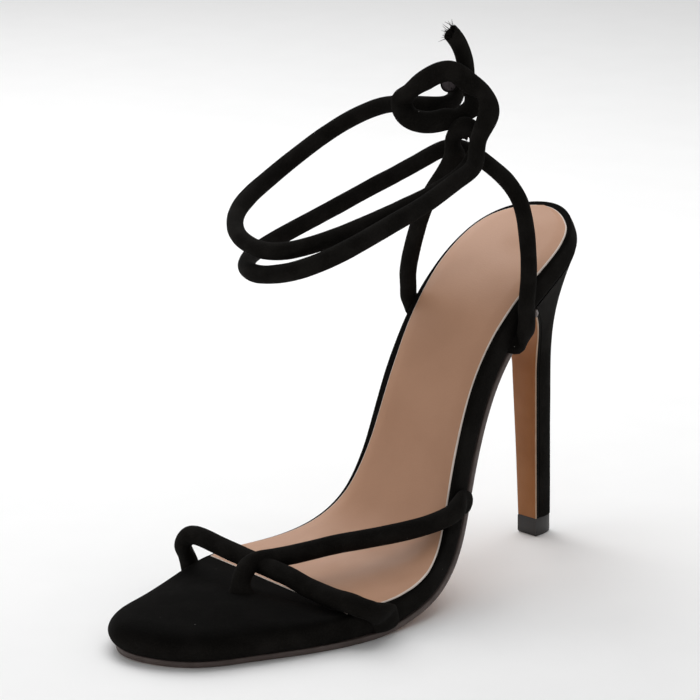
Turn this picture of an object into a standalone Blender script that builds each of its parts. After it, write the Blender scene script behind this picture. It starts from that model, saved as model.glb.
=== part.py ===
"""Left stiletto sandal: a suede-wrapped footbed on a thin leather sole and a slim heel, with round straps.

All sizes here are millimetres and become metres when a mesh is made. The toe points to -Y, the outer
(lateral) side of the foot is +X, and the floor is Z = 0. Places on the footbed are given as along, the
distance over its top from the back of the heel, and across, the distance from the middle line, + on the
lateral side. Depth is measured from the top of the footbed down into it.
"""

from math import cos, pi, radians, sin

import bmesh
import bpy
import numpy as np

MM = 0.001
GAP = 0.3

# Driving dimensions of the footbed and sole
FOOTBED_LENGTH = 245.0
FOOTBED_THICKNESS = 8.4
OUTSOLE_THICKNESS = 1.8
SOCK_THICKNESS = 0.8
SOCK_INSET = 2.0
SOCK_FRONT_LATERAL = 185.0
SOCK_FRONT_MEDIAL = 177.4
SOCK_SLANT_FROM = 150.0
BALL_ALONG = 186.0
BALL_FORWARD = 46.8
OUTSOLE_INSET = 0.5
OUTSOLE_TOE_INSET = 2.8

# The rim changes from its form along the foot to its rounder form at the toe between these places
TOE_ROUND_FROM = 180.0
TOE_ROUND_TO = 218.0

# The stretch of the forefoot that stands flat on the floor
TREAD_FROM = 174.0
TREAD_TO = 206.0

# The last: slope of the footbed, and how far each edge stands from the middle line. The first row is the
# back of the heel and the last row is the tip of the toe, where both edges meet.
LAST_COLUMNS = ("along", "slope_deg", "lateral", "medial")
LAST = (
    (0, 26.5, 0.0, 0.0),
    (7, 27.5, 14.6, 16.8),
    (22, 30.0, 22.3, 23.8),
    (44, 40.0, 23.0, 24.1),
    (60, 49.7, 22.4, 23.3),
    (78, 58.5, 22.2, 22.1),
    (100, 63.0, 24.3, 20.4),
    (118, 59.7, 28.0, 20.1),
    (132, 44.7, 33.1, 22.4),
    (147, 24.5, 38.2, 29.5),
    (160, 11.8, 40.0, 38.2),
    (172, 4.2, 40.0, 42.4),
    (196, 0.0, 35.8, 36.4),
    (220, 0.0, 26.8, 28.2),
    (236, -1.4, 17.0, 21.6),
    (245, -2.6, -6.0, 6.0),
)

# The rim of the footbed is soft: each row is a ring of its wall, from the top to the underside, along the
# foot and round the toe. Columns: inset, depth, toe_inset, toe_depth
RIM = (
    (1.6, 0.0, 5.6, 0.0),
    (0.8, 0.15, 3.2, 0.4),
    (0.25, 0.7, 1.2, 1.5),
    (0.0, 2.0, 0.2, 3.1),
    (0.0, 5.9, 0.2, 4.8),
    (0.6, 7.6, 1.2, 7.0),
    (1.8, 8.4, 3.0, 8.4),
)

# The heel below its seat: level sections with a flat front and a round back.
# Columns: height, front, back, half_width
HEEL = (
    (6.8, 79.4, 86.6, 4.5),
    (32.0, 78.7, 86.4, 5.0),
    (60.0, 77.8, 86.1, 5.8),
)
HEEL_SEAT_FRONT = 42.0
HEEL_SEAT_INSET = 1.0
HEEL_FLARE_ACROSS = 2.2
HEEL_FLARE_FORE_AFT = 2.7
HEEL_FLARE_RINGS = 9
TIP_HEIGHT = 6.5
TIP_EDGE = 0.5

# Samples along each edge of the last, and round the back of the heel
EDGE_SAMPLES = 48
HEEL_SAMPLES = 10

# The suede straps are round cord, a little thicker over the toes than in the ankle tie
TOE_CORD_DIAMETER = 6.5
TIE_CORD_DIAMETER = 5.6
CORD_SIDES_LEVEL = 3
CORD_SAMPLES_PER_SPAN = 2

# Toe strap: out of the medial wall, over the toes and back into the lateral wall.
# Columns: x, y, z
TOE_STRAP = (
    (-35.0, -42.8, 5.7),
    (-39.9, -42.9, 5.9),
    (-42.5, -44.4, 9.3),
    (-41.4, -47.4, 13.4),
    (-37.8, -51.4, 18.6),
    (-33.6, -52.1, 22.8),
    (-28.2, -51.6, 23.6),
    (-21.0, -51.0, 22.6),
    (-12.4, -50.3, 21.4),
    (-3.0, -49.4, 20.2),
    (9.6, -47.8, 18.4),
    (20.0, -46.2, 16.8),
    (30.5, -44.6, 15.4),
    (38.6, -43.3, 14.9),
    (42.5, -39.8, 11.9),
    (43.2, -35.0, 8.8),
    (40.8, -31.6, 6.4),
    (36.0, -30.2, 5.7),
)

# Post strap: from the footbed between the toes, over the toe strap and into the lateral wall at the waist.
# Columns: x, y, z
POST_STRAP = (
    (-0.1, -59.0, 6.0),
    (-0.1, -59.0, 10.4),
    (-0.6, -58.6, 14.0),
    (-1.8, -56.4, 17.8),
    (-2.2, -51.4, 20.7),
    (0.6, -45.8, 21.5),
    (5.0, -37.0, 22.3),
    (9.7, -27.6, 23.7),
    (14.8, -18.2, 24.7),
    (21.1, -9.7, 26.2),
    (27.6, -1.7, 28.4),
    (32.0, 3.7, 30.9),
    (33.0, 8.2, 32.7),
    (32.2, 12.4, 33.4),
    (29.4, 15.1, 32.5),
    (24.4, 15.1, 32.5),
)

# The ankle tie is placed in upright axes turned by TIE_HEADING: across to the outer back, up, and out to
# the outer front. Columns: across, up, out
TIE_HEADING = 46.0
LATERAL_TIE = (
    (46.2, 83.6, -19.2),
    (49.9, 83.5, -15.5),
    (52.3, 85.4, -14.0),
    (53.6, 90.5, -13.8),
    (54.0, 97.3, -14.0),
    (54.7, 105.5, -15.0),
    (54.0, 120.0, -19.0),
    (51.8, 129.6, -23.0),
    (47.0, 136.0, -28.0),
    (40.7, 140.6, -33.0),
    (34.0, 144.4, -36.0),
    (27.4, 144.3, -39.0),
    (18.5, 139.0, -43.0),
    (3.0, 130.0, -46.0),
    (-12.7, 121.9, -44.0),
    (-24.5, 117.0, -38.0),
    (-35.0, 113.5, -27.0),
    (-39.8, 112.8, -12.0),
    (-39.4, 112.8, 2.0),
    (-34.0, 113.8, 13.0),
    (-21.9, 117.4, 21.0),
    (-6.9, 123.7, 21.5),
    (7.4, 130.5, 16.0),
    (20.9, 137.0, 9.0),
    (30.6, 142.6, 2.5),
    (36.2, 146.8, -2.5),
    (38.0, 153.7, -7.0),
    (41.1, 161.6, -12.0),
    (39.8, 167.8, -16.0),
    (34.6, 171.8, -18.0),
    (28.5, 175.8, -18.0),
    (20.4, 172.8, -20.0),
    (15.6, 167.6, -24.0),
    (12.4, 162.3, -27.0),
    (14.4, 157.5, -26.0),
    (20.8, 155.8, -24.0),
    (27.0, 157.2, -22.0),
    (32.0, 159.0, -23.0),
    (35.1, 161.6, -25.0),
    (35.7, 165.1, -28.0),
    (34.9, 169.9, -29.0),
    (34.2, 176.6, -27.0),
    (31.6, 183.9, -24.0),
    (28.9, 188.0, -22.0),
)
MEDIAL_TIE = (
    (19.1, 82.3, -45.1),
    (16.1, 82.0, -48.9),
    (14.6, 85.3, -51.2),
    (14.4, 88.6, -50.3),
    (14.1, 92.5, -48.8),
    (14.0, 97.4, -46.6),
    (14.6, 103.5, -44.0),
    (17.0, 114.9, -39.0),
    (21.5, 129.0, -32.0),
    (27.1, 140.6, -26.0),
    (29.8, 147.0, -22.4),
    (30.9, 151.2, -20.9),
    (33.4, 153.2, -19.2),
    (36.0, 152.2, -17.6),
    (36.3, 148.2, -15.8),
    (34.8, 144.5, -13.0),
    (31.3, 141.3, -9.8),
    (25.1, 138.1, -5.0),
    (18.0, 135.5, 0.0),
    (3.0, 130.5, 8.0),
    (-16.5, 124.3, 14.0),
    (-31.0, 121.4, 12.0),
    (-40.8, 122.7, 2.0),
    (-44.1, 125.7, -12.0),
    (-41.3, 129.1, -28.0),
    (-32.8, 134.2, -42.0),
    (-17.3, 144.8, -50.0),
    (-2.4, 154.8, -46.0),
    (8.5, 159.5, -40.5),
    (14.5, 160.0, -37.0),
    (20.0, 159.8, -36.0),
    (25.6, 159.6, -38.4),
    (29.2, 161.0, -43.4),
    (31.0, 164.8, -46.0),
    (30.6, 168.4, -44.6),
    (29.4, 169.8, -40.4),
    (28.2, 169.4, -35.6),
    (27.4, 168.6, -31.0),
)

# Colours as linear red, green and blue, with a roughness
BLACK_SUEDE = ("black_suede", (0.008, 0.008, 0.009), 0.95)
TAN_LEATHER = ("tan_leather", (0.43, 0.27, 0.19), 0.55)
BROWN_LEATHER = ("brown_leather", (0.20, 0.085, 0.04), 0.5)
HARD_RUBBER = ("hard_rubber", (0.03, 0.027, 0.027), 0.5)


def column(table, columns, name):
    """Return one named column of a table as an array."""
    return np.array([row[columns.index(name)] for row in table], float)


def smooth_curve(points, per_span):
    """Return points on a natural cubic spline through points, per_span to each span."""
    points = np.asarray(points, float)
    steps = np.sqrt(np.linalg.norm(np.diff(points, axis=0), axis=1))
    count = len(points)
    system = np.eye(count)
    right = np.zeros_like(points)
    for i in range(1, count - 1):
        before, after = steps[i - 1], steps[i]
        system[i, i - 1 : i + 2] = before, 2 * (before + after), after
        right[i] = 6 * ((points[i + 1] - points[i]) / after - (points[i] - points[i - 1]) / before)
    bend = np.linalg.solve(system, right)
    curve = []
    for i, step in enumerate(steps):
        for t in np.arange(per_span) / per_span:
            a, b = 1 - t, t
            straight = a * points[i] + b * points[i + 1]
            curve.append(straight + step**2 / 6 * ((a**3 - a) * bend[i] + (b**3 - b) * bend[i + 1]))
    curve.append(points[-1])
    return np.array(curve)


def arc_lengths(curve):
    """Return the distance from the curve's start to each of its points."""
    return np.concatenate([[0.0], np.cumsum(np.linalg.norm(np.diff(curve, axis=0), axis=1))])


def profile():
    """Return along, y, z and slope of the footbed's top, from the back of the heel to the toe."""
    along = np.linspace(0, FOOTBED_LENGTH, 491)
    rows = np.column_stack([column(LAST, LAST_COLUMNS, "along"), column(LAST, LAST_COLUMNS, "slope_deg")])
    smooth = smooth_curve(rows, 12)
    slope = np.radians(np.interp(along, smooth[:, 0], smooth[:, 1]))
    slope[along < TREAD_FROM] = np.maximum(slope[along < TREAD_FROM], 0.0)
    slope[along > TREAD_TO] = np.minimum(slope[along > TREAD_TO], 0.0)
    slope[(along >= TREAD_FROM) & (along <= TREAD_TO)] = 0.0
    step = along[1]
    y = -np.concatenate([[0.0], np.cumsum(np.cos(slope[:-1]) * step)])
    z = -np.concatenate([[0.0], np.cumsum(np.sin(slope[:-1]) * step)])
    top_of_ball = FOOTBED_THICKNESS + GAP + OUTSOLE_THICKNESS
    y += -BALL_FORWARD - np.interp(BALL_ALONG, along, y)
    z += top_of_ball - z.min()
    return along, y, z, slope


PROFILE = profile()


def on_footbed(along, across, depth):
    """Return the point at a place on the footbed, depth below its top."""
    grid, ys, zs, slopes = PROFILE
    over = along - np.clip(along, grid[0], grid[-1])
    slope = np.interp(along, grid, slopes)
    y = np.interp(along, grid, ys) - over * np.cos(slope) + depth * np.sin(slope)
    z = np.interp(along, grid, zs) - over * np.sin(slope) - depth * np.cos(slope)
    return np.column_stack([across * np.ones_like(y), y, z])


def last_edges():
    """Return dense (along, across) points of the lateral and medial edges, each from heel to toe."""
    along = column(LAST, LAST_COLUMNS, "along")
    lateral = np.column_stack([along, column(LAST, LAST_COLUMNS, "lateral")])
    medial = np.column_stack([along, -column(LAST, LAST_COLUMNS, "medial")])
    wrap = 3
    loop = np.concatenate([medial[wrap:0:-1], lateral, medial[-2::-1], lateral[1 : wrap + 1]])
    per_span = 16
    dense = smooth_curve(loop, per_span)[wrap * per_span : -wrap * per_span]
    toe = int(np.argmax(dense[:, 0]))
    return dense[: toe + 1], dense[toe:][::-1]


LATERAL_EDGE, MEDIAL_EDGE = last_edges()
TOE_END = LATERAL_EDGE[-1, 0]


def toe_share(along):
    """Return how far the rim has changed to its form at the toe, from 0 to 1."""
    share = np.clip((along - TOE_ROUND_FROM) / (TOE_ROUND_TO - TOE_ROUND_FROM), 0, 1)
    return share**2 * (3 - 2 * share)


def edge_across(edge, inset, toe_inset, along):
    """Return how far an edge, moved inward, stands from the middle line at values of along."""
    tangent = np.gradient(edge, axis=0)
    tangent /= np.linalg.norm(tangent, axis=1)[:, None]
    outer_side = np.sign(edge[len(edge) // 2, 1])
    inward = outer_side * np.column_stack([tangent[:, 1], -tangent[:, 0]])
    inward[0] = (1.0, 0.0)
    inward[-1] = (-1.0, 0.0)
    moved = edge + (inset + (toe_inset - inset) * toe_share(edge[:, 0]))[:, None] * inward
    return np.interp(along, np.maximum.accumulate(moved[:, 0]), moved[:, 1])


def stations(first, last, samples):
    """Return values of along between two of them, close together where the outline turns round its ends."""
    run = arc_lengths(LATERAL_EDGE)
    start, end = np.interp((first, last), LATERAL_EDGE[:, 0], run)
    return np.interp(np.linspace(start, end, samples + 1), run, LATERAL_EDGE[:, 0])


def footbed_ring(inset, depth, along_lateral, along_medial=None, toe=None):
    """Return a ring of points round the last, as its lateral and medial halves from heel to toe.

    toe gives the ring's inset and depth at the toe, where they differ from those along the foot.
    """
    toe_inset, toe_depth = toe or (inset, depth)
    halves = []
    for edge, along in ((LATERAL_EDGE, along_lateral), (MEDIAL_EDGE, along_medial)):
        along = along_lateral if along is None else along
        within = inset + along * (TOE_END - inset - toe_inset) / TOE_END
        across = edge_across(edge, inset, toe_inset, within)
        halves.append(on_footbed(within, across, depth + (toe_depth - depth) * toe_share(within)))
    return halves


def material(finish):
    """Return a Principled material for a finish, made once."""
    name, colour, roughness = finish
    found = bpy.data.materials.get(name)
    if found:
        return found
    made = bpy.data.materials.new(name)
    made.use_nodes = True
    shader = made.node_tree.nodes["Principled BSDF"]
    shader.inputs["Base Color"].default_value = (*colour, 1.0)
    shader.inputs["Roughness"].default_value = roughness
    shader.inputs["Metallic"].default_value = 0.0
    return made


def add_object(name, data, finish):
    """Link a new object with its material."""
    made = bpy.data.objects.new(name, data)
    data.materials.append(material(finish))
    bpy.context.scene.collection.objects.link(made)
    return made


def solid_from_rings(name, rings, finish):
    """Make a closed solid from rings of lateral and medial halves, filled across at both ends."""
    build = bmesh.new()
    loops = []
    for lateral, medial in rings:
        loops.append([[build.verts.new(point * MM) for point in half] for half in (lateral, medial)])
    for (lateral, medial), (next_lateral, next_medial) in zip(loops, loops[1:]):
        around = lateral + medial[::-1]
        next_around = next_lateral + next_medial[::-1]
        for i in range(len(around)):
            j = (i + 1) % len(around)
            build.faces.new((around[i], around[j], next_around[j], next_around[i]))
    for lateral, medial in (loops[0], loops[-1]):
        for i in range(len(lateral) - 1):
            build.faces.new((lateral[i], lateral[i + 1], medial[i + 1], medial[i]))
    bmesh.ops.remove_doubles(build, verts=build.verts, dist=0.02 * MM)
    bmesh.ops.dissolve_degenerate(build, edges=build.edges, dist=0.005 * MM)
    bmesh.ops.triangulate(build, faces=build.faces)
    bmesh.ops.recalc_face_normals(build, faces=build.faces)
    mesh = bpy.data.meshes.new(name)
    build.to_mesh(mesh)
    build.free()
    mesh.shade_smooth()
    mesh.set_sharp_from_angle(angle=radians(40))
    return add_object(name, mesh, finish)


def make_footbed():
    """The padded board: rings of the last's outline down its soft rim, with a hole for each strap's end."""
    along = stations(0.0, TOE_END, EDGE_SAMPLES)
    rings = [footbed_ring(inset, depth, along, toe=toe) for inset, depth, *toe in RIM]
    footbed = solid_from_rings("footbed", rings, BLACK_SUEDE)
    tie_foot_rows = 7
    holes = (
        ("toe_strap_hole", TOE_STRAP, TOE_CORD_DIAMETER),
        ("post_strap_hole", POST_STRAP, TOE_CORD_DIAMETER),
        ("lateral_tie_hole", tie_route(LATERAL_TIE[:tie_foot_rows]), TIE_CORD_DIAMETER),
        ("medial_tie_hole", tie_route(MEDIAL_TIE[:tie_foot_rows]), TIE_CORD_DIAMETER),
    )
    for name, route, diameter in holes:
        hole = as_guide(cord_mesh(name, route, diameter + 2 * GAP, BLACK_SUEDE))
        cut = footbed.modifiers.new(name, "BOOLEAN")
        cut.operation = "DIFFERENCE"
        cut.object = hole
    return footbed


def make_sock():
    """The sock leather: a thin sheet on the footbed that stops at a straight, slanted front edge."""
    edge = 0.35 * SOCK_THICKNESS
    underside = -GAP
    top = -GAP - SOCK_THICKNESS
    middle = (SOCK_FRONT_LATERAL + SOCK_FRONT_MEDIAL) / 2
    along = stations(0.0, middle, EDGE_SAMPLES)
    forward = np.clip((along - SOCK_SLANT_FROM) / (middle - SOCK_SLANT_FROM), 0, 1) ** 2
    along_lateral = along + (SOCK_FRONT_LATERAL - middle) * forward
    along_medial = along + (SOCK_FRONT_MEDIAL - middle) * forward
    rows = ((SOCK_INSET, underside), (SOCK_INSET, top + edge), (SOCK_INSET + edge, top))
    rings = [footbed_ring(inset, depth, along_lateral, along_medial) for inset, depth in rows]
    return solid_from_rings("sock", rings, TAN_LEATHER)


def heel_section(height, front, back, half_width):
    """Return a level section of the heel as lateral and medial halves, from its front to its back."""
    turn = np.linspace(0, pi / 2, HEEL_SAMPLES + 1)
    across = half_width * np.cos(turn) ** 0.6
    across[-1] = 0.0
    depth = front + (back - front) * np.sin(turn) ** 0.9
    level = np.full_like(turn, height)
    return [np.column_stack([across, depth, level]), np.column_stack([-across, depth, level])]


def heel_seat():
    """Return the ring where the heel meets the footbed, in the same order as heel_section."""
    along = stations(0.0, HEEL_SEAT_FRONT, HEEL_SAMPLES)
    halves = footbed_ring(HEEL_SEAT_INSET, FOOTBED_THICKNESS + GAP, along)
    return [half[::-1] for half in halves]


def heel_rings():
    """Return the heel's rings from its foot, up the stem and out to the seat."""
    rings = [heel_section(*row) for row in HEEL]
    stem, seat = rings[-1], heel_seat()
    for i in range(1, HEEL_FLARE_RINGS + 1):
        rise = i / HEEL_FLARE_RINGS
        spread = np.array([rise**HEEL_FLARE_ACROSS, rise**HEEL_FLARE_FORE_AFT, rise])
        rings.append([low + (high - low) * spread for low, high in zip(stem, seat)])
    return rings


def make_heel():
    """The stiletto: a slim stem that flares into a seat under the back of the footbed."""
    return solid_from_rings("heel", heel_rings(), BLACK_SUEDE)


def make_heel_tip():
    """The top piece under the heel and under the sole's flap."""
    height, front, back, half_width = HEEL[0]
    front -= OUTSOLE_THICKNESS + GAP
    rows = ((0.0, TIP_EDGE), (TIP_EDGE, 0.0), (TIP_HEIGHT, 0.0))
    rings = [heel_section(z, front + trim, back - trim, half_width - trim) for z, trim in rows]
    return solid_from_rings("heel_tip", rings, HARD_RUBBER)


def offset_path(path, distance):
    """Return a path in the YZ plane moved sideways by distance, square to its own run."""
    run = np.diff(path[:, 1:], axis=0)
    run /= np.linalg.norm(run, axis=1)[:, None]
    side = np.column_stack([-run[:, 1], run[:, 0]])
    first = np.concatenate([side[:1], side])
    second = np.concatenate([side, side[-1:]])
    mitre = first + second
    mitre /= (1 + np.sum(first * second, axis=1))[:, None]
    moved = path.copy()
    moved[:, 1:] += distance * mitre
    return moved


def make_outsole():
    """The leather sole: under the footbed from toe to heel, then down the heel's breast as a flap."""
    under = FOOTBED_THICKNESS + GAP
    along = stations(HEEL_SEAT_FRONT + 2.0, TOE_END, EDGE_SAMPLES)[::-1]
    uppers, lowers = (
        footbed_ring(OUTSOLE_INSET, depth, along, toe=(OUTSOLE_TOE_INSET, depth))
        for depth in (under, under + OUTSOLE_THICKNESS)
    )
    heel = heel_rings()[::-1]
    upper_ring, lower_ring = [], []
    for side, (upper, lower) in enumerate(zip(uppers, lowers)):
        heel_corner = np.array([ring[side][0] for ring in heel])
        breast = offset_path(heel_corner, -GAP)[1:]
        turn = np.concatenate([upper[-2:], breast])
        lower_turn = offset_path(turn, -OUTSOLE_THICKNESS)[1:]
        upper_ring.append(np.concatenate([upper, breast]))
        lower_ring.append(np.concatenate([lower[:-1], lower_turn]))
    return solid_from_rings("outsole", [upper_ring, lower_ring], BROWN_LEATHER)


def cord_curve(name, route, diameter, finish):
    """Make a round cord with flat ends along a smooth curve through a route."""
    points = smooth_curve(route, CORD_SAMPLES_PER_SPAN) * MM
    curve = bpy.data.curves.new(name, "CURVE")
    curve.dimensions = "3D"
    curve.bevel_depth = diameter / 2 * MM
    curve.bevel_resolution = CORD_SIDES_LEVEL
    curve.use_fill_caps = True
    spline = curve.splines.new("POLY")
    spline.points.add(len(points) - 1)
    for place, point in zip(spline.points, points):
        place.co = (*point, 1.0)
    return add_object(name, curve, finish)


def cord_mesh(name, route, diameter, finish):
    """Make the same cord as a mesh object, so that it can be joined to another or cut a hole for itself."""
    guide = cord_curve(name + "_route", route, diameter, finish)
    bpy.context.view_layer.update()
    seen = guide.evaluated_get(bpy.context.evaluated_depsgraph_get())
    mesh = bpy.data.meshes.new_from_object(seen)
    bpy.data.objects.remove(guide)
    build = bmesh.new()
    build.from_mesh(mesh)
    bmesh.ops.remove_doubles(build, verts=build.verts, dist=0.01 * MM)
    bmesh.ops.recalc_face_normals(build, faces=build.faces)
    build.to_mesh(mesh)
    build.free()
    mesh.materials.clear()
    mesh.shade_smooth()
    return add_object(name, mesh, finish)


def as_guide(made):
    """Mark an object as one that only shapes others."""
    made.hide_render = True
    made.display_type = "WIRE"
    return made


def make_toe_straps():
    """The two straps over the toes, joined into one piece where they cross."""
    straps = cord_mesh("toe_straps", TOE_STRAP, TOE_CORD_DIAMETER, BLACK_SUEDE)
    join = straps.modifiers.new("join", "BOOLEAN")
    join.operation = "UNION"
    join.object = as_guide(cord_mesh("post_strap", POST_STRAP, TOE_CORD_DIAMETER, BLACK_SUEDE))
    return straps


def tie_route(rows):
    """Turn rows of across, up and out into points of the sandal's own frame."""
    heading = radians(TIE_HEADING)
    across_axis = np.array([cos(heading), sin(heading), 0.0])
    up_axis = np.array([0.0, 0.0, 1.0])
    out_axis = np.array([sin(heading), -cos(heading), 0.0])
    return np.array([across * across_axis + up * up_axis + out * out_axis for across, up, out in rows])


def make_ankle_ties():
    """The two cords of the ankle tie, each along its own route through the knot."""
    cord_curve("ankle_tie_lateral", tie_route(LATERAL_TIE), TIE_CORD_DIAMETER, BLACK_SUEDE)
    cord_curve("ankle_tie_medial", tie_route(MEDIAL_TIE), TIE_CORD_DIAMETER, BLACK_SUEDE)


def carry_on_origin(pieces):
    """Carry everything on an empty that puts the origin on the floor, under the middle of some pieces."""
    bpy.context.view_layer.update()
    graph = bpy.context.evaluated_depsgraph_get()
    corners = np.concatenate([piece.evaluated_get(graph).bound_box for piece in pieces])
    middle = (corners.min(axis=0) + corners.max(axis=0)) / 2
    sandal = bpy.data.objects.new("sandal", None)
    sandal.location = (-middle[0], -middle[1], 0.0)
    for made in bpy.data.objects:
        made.parent = sandal if made != sandal else None
    bpy.context.scene.collection.objects.link(sandal)


def main():
    for old in list(bpy.data.objects):
        bpy.data.objects.remove(old)
    shoe = [make_footbed(), make_sock(), make_outsole(), make_heel(), make_heel_tip(), make_toe_straps()]
    make_ankle_ties()
    carry_on_origin(shoe)


main()
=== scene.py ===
# %% [markdown]
# # A stiletto sandal with a knotted ankle tie
#
# This lesson dresses the solid model of a left sandal. The solids give every place and size. Each cell
# makes one piece of the real shoe again, with the surface that a close look shows: black suede, tan sock
# leather, a caramel leather sole and a hard rubber top piece. The solids could simply be given colours,
# but suede and cut leather need soft edges and fine relief, so each piece gets a finer mesh that lies on
# its solid.


# %% Load the solid model
from math import cos, pi, radians, sin

import bmesh
import bpy
import numpy as np
from mathutils import Matrix, Vector, noise


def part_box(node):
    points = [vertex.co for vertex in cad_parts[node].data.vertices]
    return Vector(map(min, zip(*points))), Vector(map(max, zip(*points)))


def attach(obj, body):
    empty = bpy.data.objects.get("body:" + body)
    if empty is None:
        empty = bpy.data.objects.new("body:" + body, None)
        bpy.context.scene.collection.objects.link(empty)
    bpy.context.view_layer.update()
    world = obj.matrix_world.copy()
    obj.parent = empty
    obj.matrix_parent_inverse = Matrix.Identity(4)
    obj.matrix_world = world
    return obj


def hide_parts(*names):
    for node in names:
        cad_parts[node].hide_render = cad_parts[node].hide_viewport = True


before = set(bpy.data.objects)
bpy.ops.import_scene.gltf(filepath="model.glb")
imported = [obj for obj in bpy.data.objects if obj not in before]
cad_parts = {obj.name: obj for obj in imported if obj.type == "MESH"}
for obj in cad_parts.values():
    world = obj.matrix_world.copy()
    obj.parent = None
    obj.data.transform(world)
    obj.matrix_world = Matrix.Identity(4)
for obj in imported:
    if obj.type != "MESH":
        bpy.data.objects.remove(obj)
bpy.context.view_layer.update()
MM = 0.001
print("solids:", sorted(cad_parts))


# %% [markdown]
# The sizes below are millimetres in the shoemaker's drawing: the toe points to -Y, the outer (lateral)
# side of the foot is +X and the floor is Z = 0. The model has its origin under the middle of the shoe, a
# little away from the drawing's. The heel's top piece is symmetrical and its back is known, so it shows
# the difference.


# %% From the drawing to the model
HEEL_BACK = 86.6
tip_low, tip_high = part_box("heel_tip")
ORIGIN = np.array([(tip_low[0] + tip_high[0]) / 2, tip_high[1] - HEEL_BACK * MM, 0.0])


def placed(points):
    """Turn millimetres of the drawing into metres of the model."""
    return np.asarray(points, float) * MM + ORIGIN


print("drawing's origin in the model, mm:", np.round(ORIGIN / MM, 2))


# %% [markdown]
# The camera stands where the photograph was taken: before the shoe, on its outer side, a little above it
# and far enough away for a long lens. It could be aimed with a constraint, but the picture is tilted a
# little, so its axes are worked out here and written into the camera's matrix.


# %% The camera
PHOTO_PIXELS = 700
SENSOR_MM = 36.0
FOCAL_PIXELS = 3538.74
VIEW_AZIMUTH = radians(46.68)
VIEW_ELEVATION = radians(15.71)
VIEW_ROLL = radians(-0.77)
VIEW_DISTANCE = 1194.37
AIM_HEIGHT = 60.0
AIM_RIGHT = -6.20
AIM_UP = 23.02

level = cos(VIEW_ELEVATION)
toward_camera = np.array([sin(VIEW_AZIMUTH) * level, -cos(VIEW_AZIMUTH) * level, sin(VIEW_ELEVATION)])
level_right = np.array([cos(VIEW_AZIMUTH), sin(VIEW_AZIMUTH), 0.0])
level_up = np.cross(toward_camera, level_right)
picture_right = cos(VIEW_ROLL) * level_right + sin(VIEW_ROLL) * level_up
picture_up = cos(VIEW_ROLL) * level_up - sin(VIEW_ROLL) * level_right
aim = np.array([0.0, 0.0, AIM_HEIGHT]) + AIM_RIGHT * picture_right + AIM_UP * picture_up
camera_place = placed(aim + VIEW_DISTANCE * toward_camera)

camera = bpy.data.objects.new("camera", bpy.data.cameras.new("camera"))
camera.data.sensor_width = SENSOR_MM
camera.data.lens = FOCAL_PIXELS / PHOTO_PIXELS * SENSOR_MM
columns = np.column_stack([picture_right, picture_up, toward_camera, camera_place])
camera.matrix_world = Matrix([*columns.tolist(), (0.0, 0.0, 0.0, 1.0)])
bpy.context.scene.collection.objects.link(camera)
bpy.context.scene.camera = camera
print("camera lens, mm:", round(camera.data.lens, 1))


# %% [markdown]
# ## Finishes
#
# Suede is leather with its fibres brushed up. The nap lies in patches, and each fibre stands by itself,
# so the group below mixes a broad noise with a fine one. It is a node group because the footbed, the heel
# and the straps all wear suede, each with its own values. Sizes go in as millimetres.


# %% Node group helpers
COLOUR = "NodeSocketColor"
VALUE = "NodeSocketFloat"
# A Mix node has sockets for every kind of data. These are the places of those for colour.
MIX_INPUTS = (0, 6, 7)
MIX_OUTPUT = 2


def new_group(name, inputs, outputs):
    """Start a shader node group with named sockets, and return its tree and its two end nodes."""
    tree = bpy.data.node_groups.new(name, "ShaderNodeTree")
    for label, kind in inputs:
        tree.interface.new_socket(name=label, in_out="INPUT", socket_type=kind)
    for label, kind in outputs:
        tree.interface.new_socket(name=label, in_out="OUTPUT", socket_type=kind)
    return tree, tree.nodes.new("NodeGroupInput"), tree.nodes.new("NodeGroupOutput")


def join(tree, source, target):
    """Link a socket, or set a plain number or colour."""
    if hasattr(source, "links"):
        tree.links.new(source, target)
    else:
        target.default_value = source


def put_out(tree, made, **results):
    """Link a group's results to its named outputs."""
    for label, result in results.items():
        join(tree, result, made.inputs[label])


def maths(tree, operation, first, second=0.0, third=0.0):
    """Add a Math node and return its output."""
    node = tree.nodes.new("ShaderNodeMath")
    node.operation = operation
    for socket, source in zip(node.inputs, (first, second, third)):
        join(tree, source, socket)
    return node.outputs["Value"]


def mixed(tree, factor, first, second):
    """Add a colour Mix node and return its output."""
    node = tree.nodes.new("ShaderNodeMix")
    node.data_type = "RGBA"
    for place, source in zip(MIX_INPUTS, (factor, first, second)):
        join(tree, source, node.inputs[place])
    return node.outputs[MIX_OUTPUT]


def graded(tree, source, low, high):
    """Stretch a value so that low becomes 0 and high becomes 1, eased at both ends."""
    node = tree.nodes.new("ShaderNodeMapRange")
    node.interpolation_type = "SMOOTHSTEP"
    join(tree, source, node.inputs["Value"])
    join(tree, low, node.inputs["From Min"])
    join(tree, high, node.inputs["From Max"])
    return node.outputs["Result"]


# %% Noise and cells in millimetres
def speckle(tree, size, detail):
    """Add a noise whose grains are size millimetres, and return its value."""
    place = tree.nodes.new("ShaderNodeTexCoord")
    grain = tree.nodes.new("ShaderNodeTexNoise")
    tree.links.new(place.outputs["Object"], grain.inputs["Vector"])
    join(tree, maths(tree, "DIVIDE", 1.0 / MM, size), grain.inputs["Scale"])
    grain.inputs["Detail"].default_value = detail
    return grain.outputs["Fac"]


def cell_texture(tree, size):
    """Add a Voronoi texture whose cells are size millimetres, and return its node."""
    place = tree.nodes.new("ShaderNodeTexCoord")
    cells = tree.nodes.new("ShaderNodeTexVoronoi")
    tree.links.new(place.outputs["Object"], cells.inputs["Vector"])
    join(tree, maths(tree, "DIVIDE", 1.0 / MM, size), cells.inputs["Scale"])
    return cells


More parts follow.
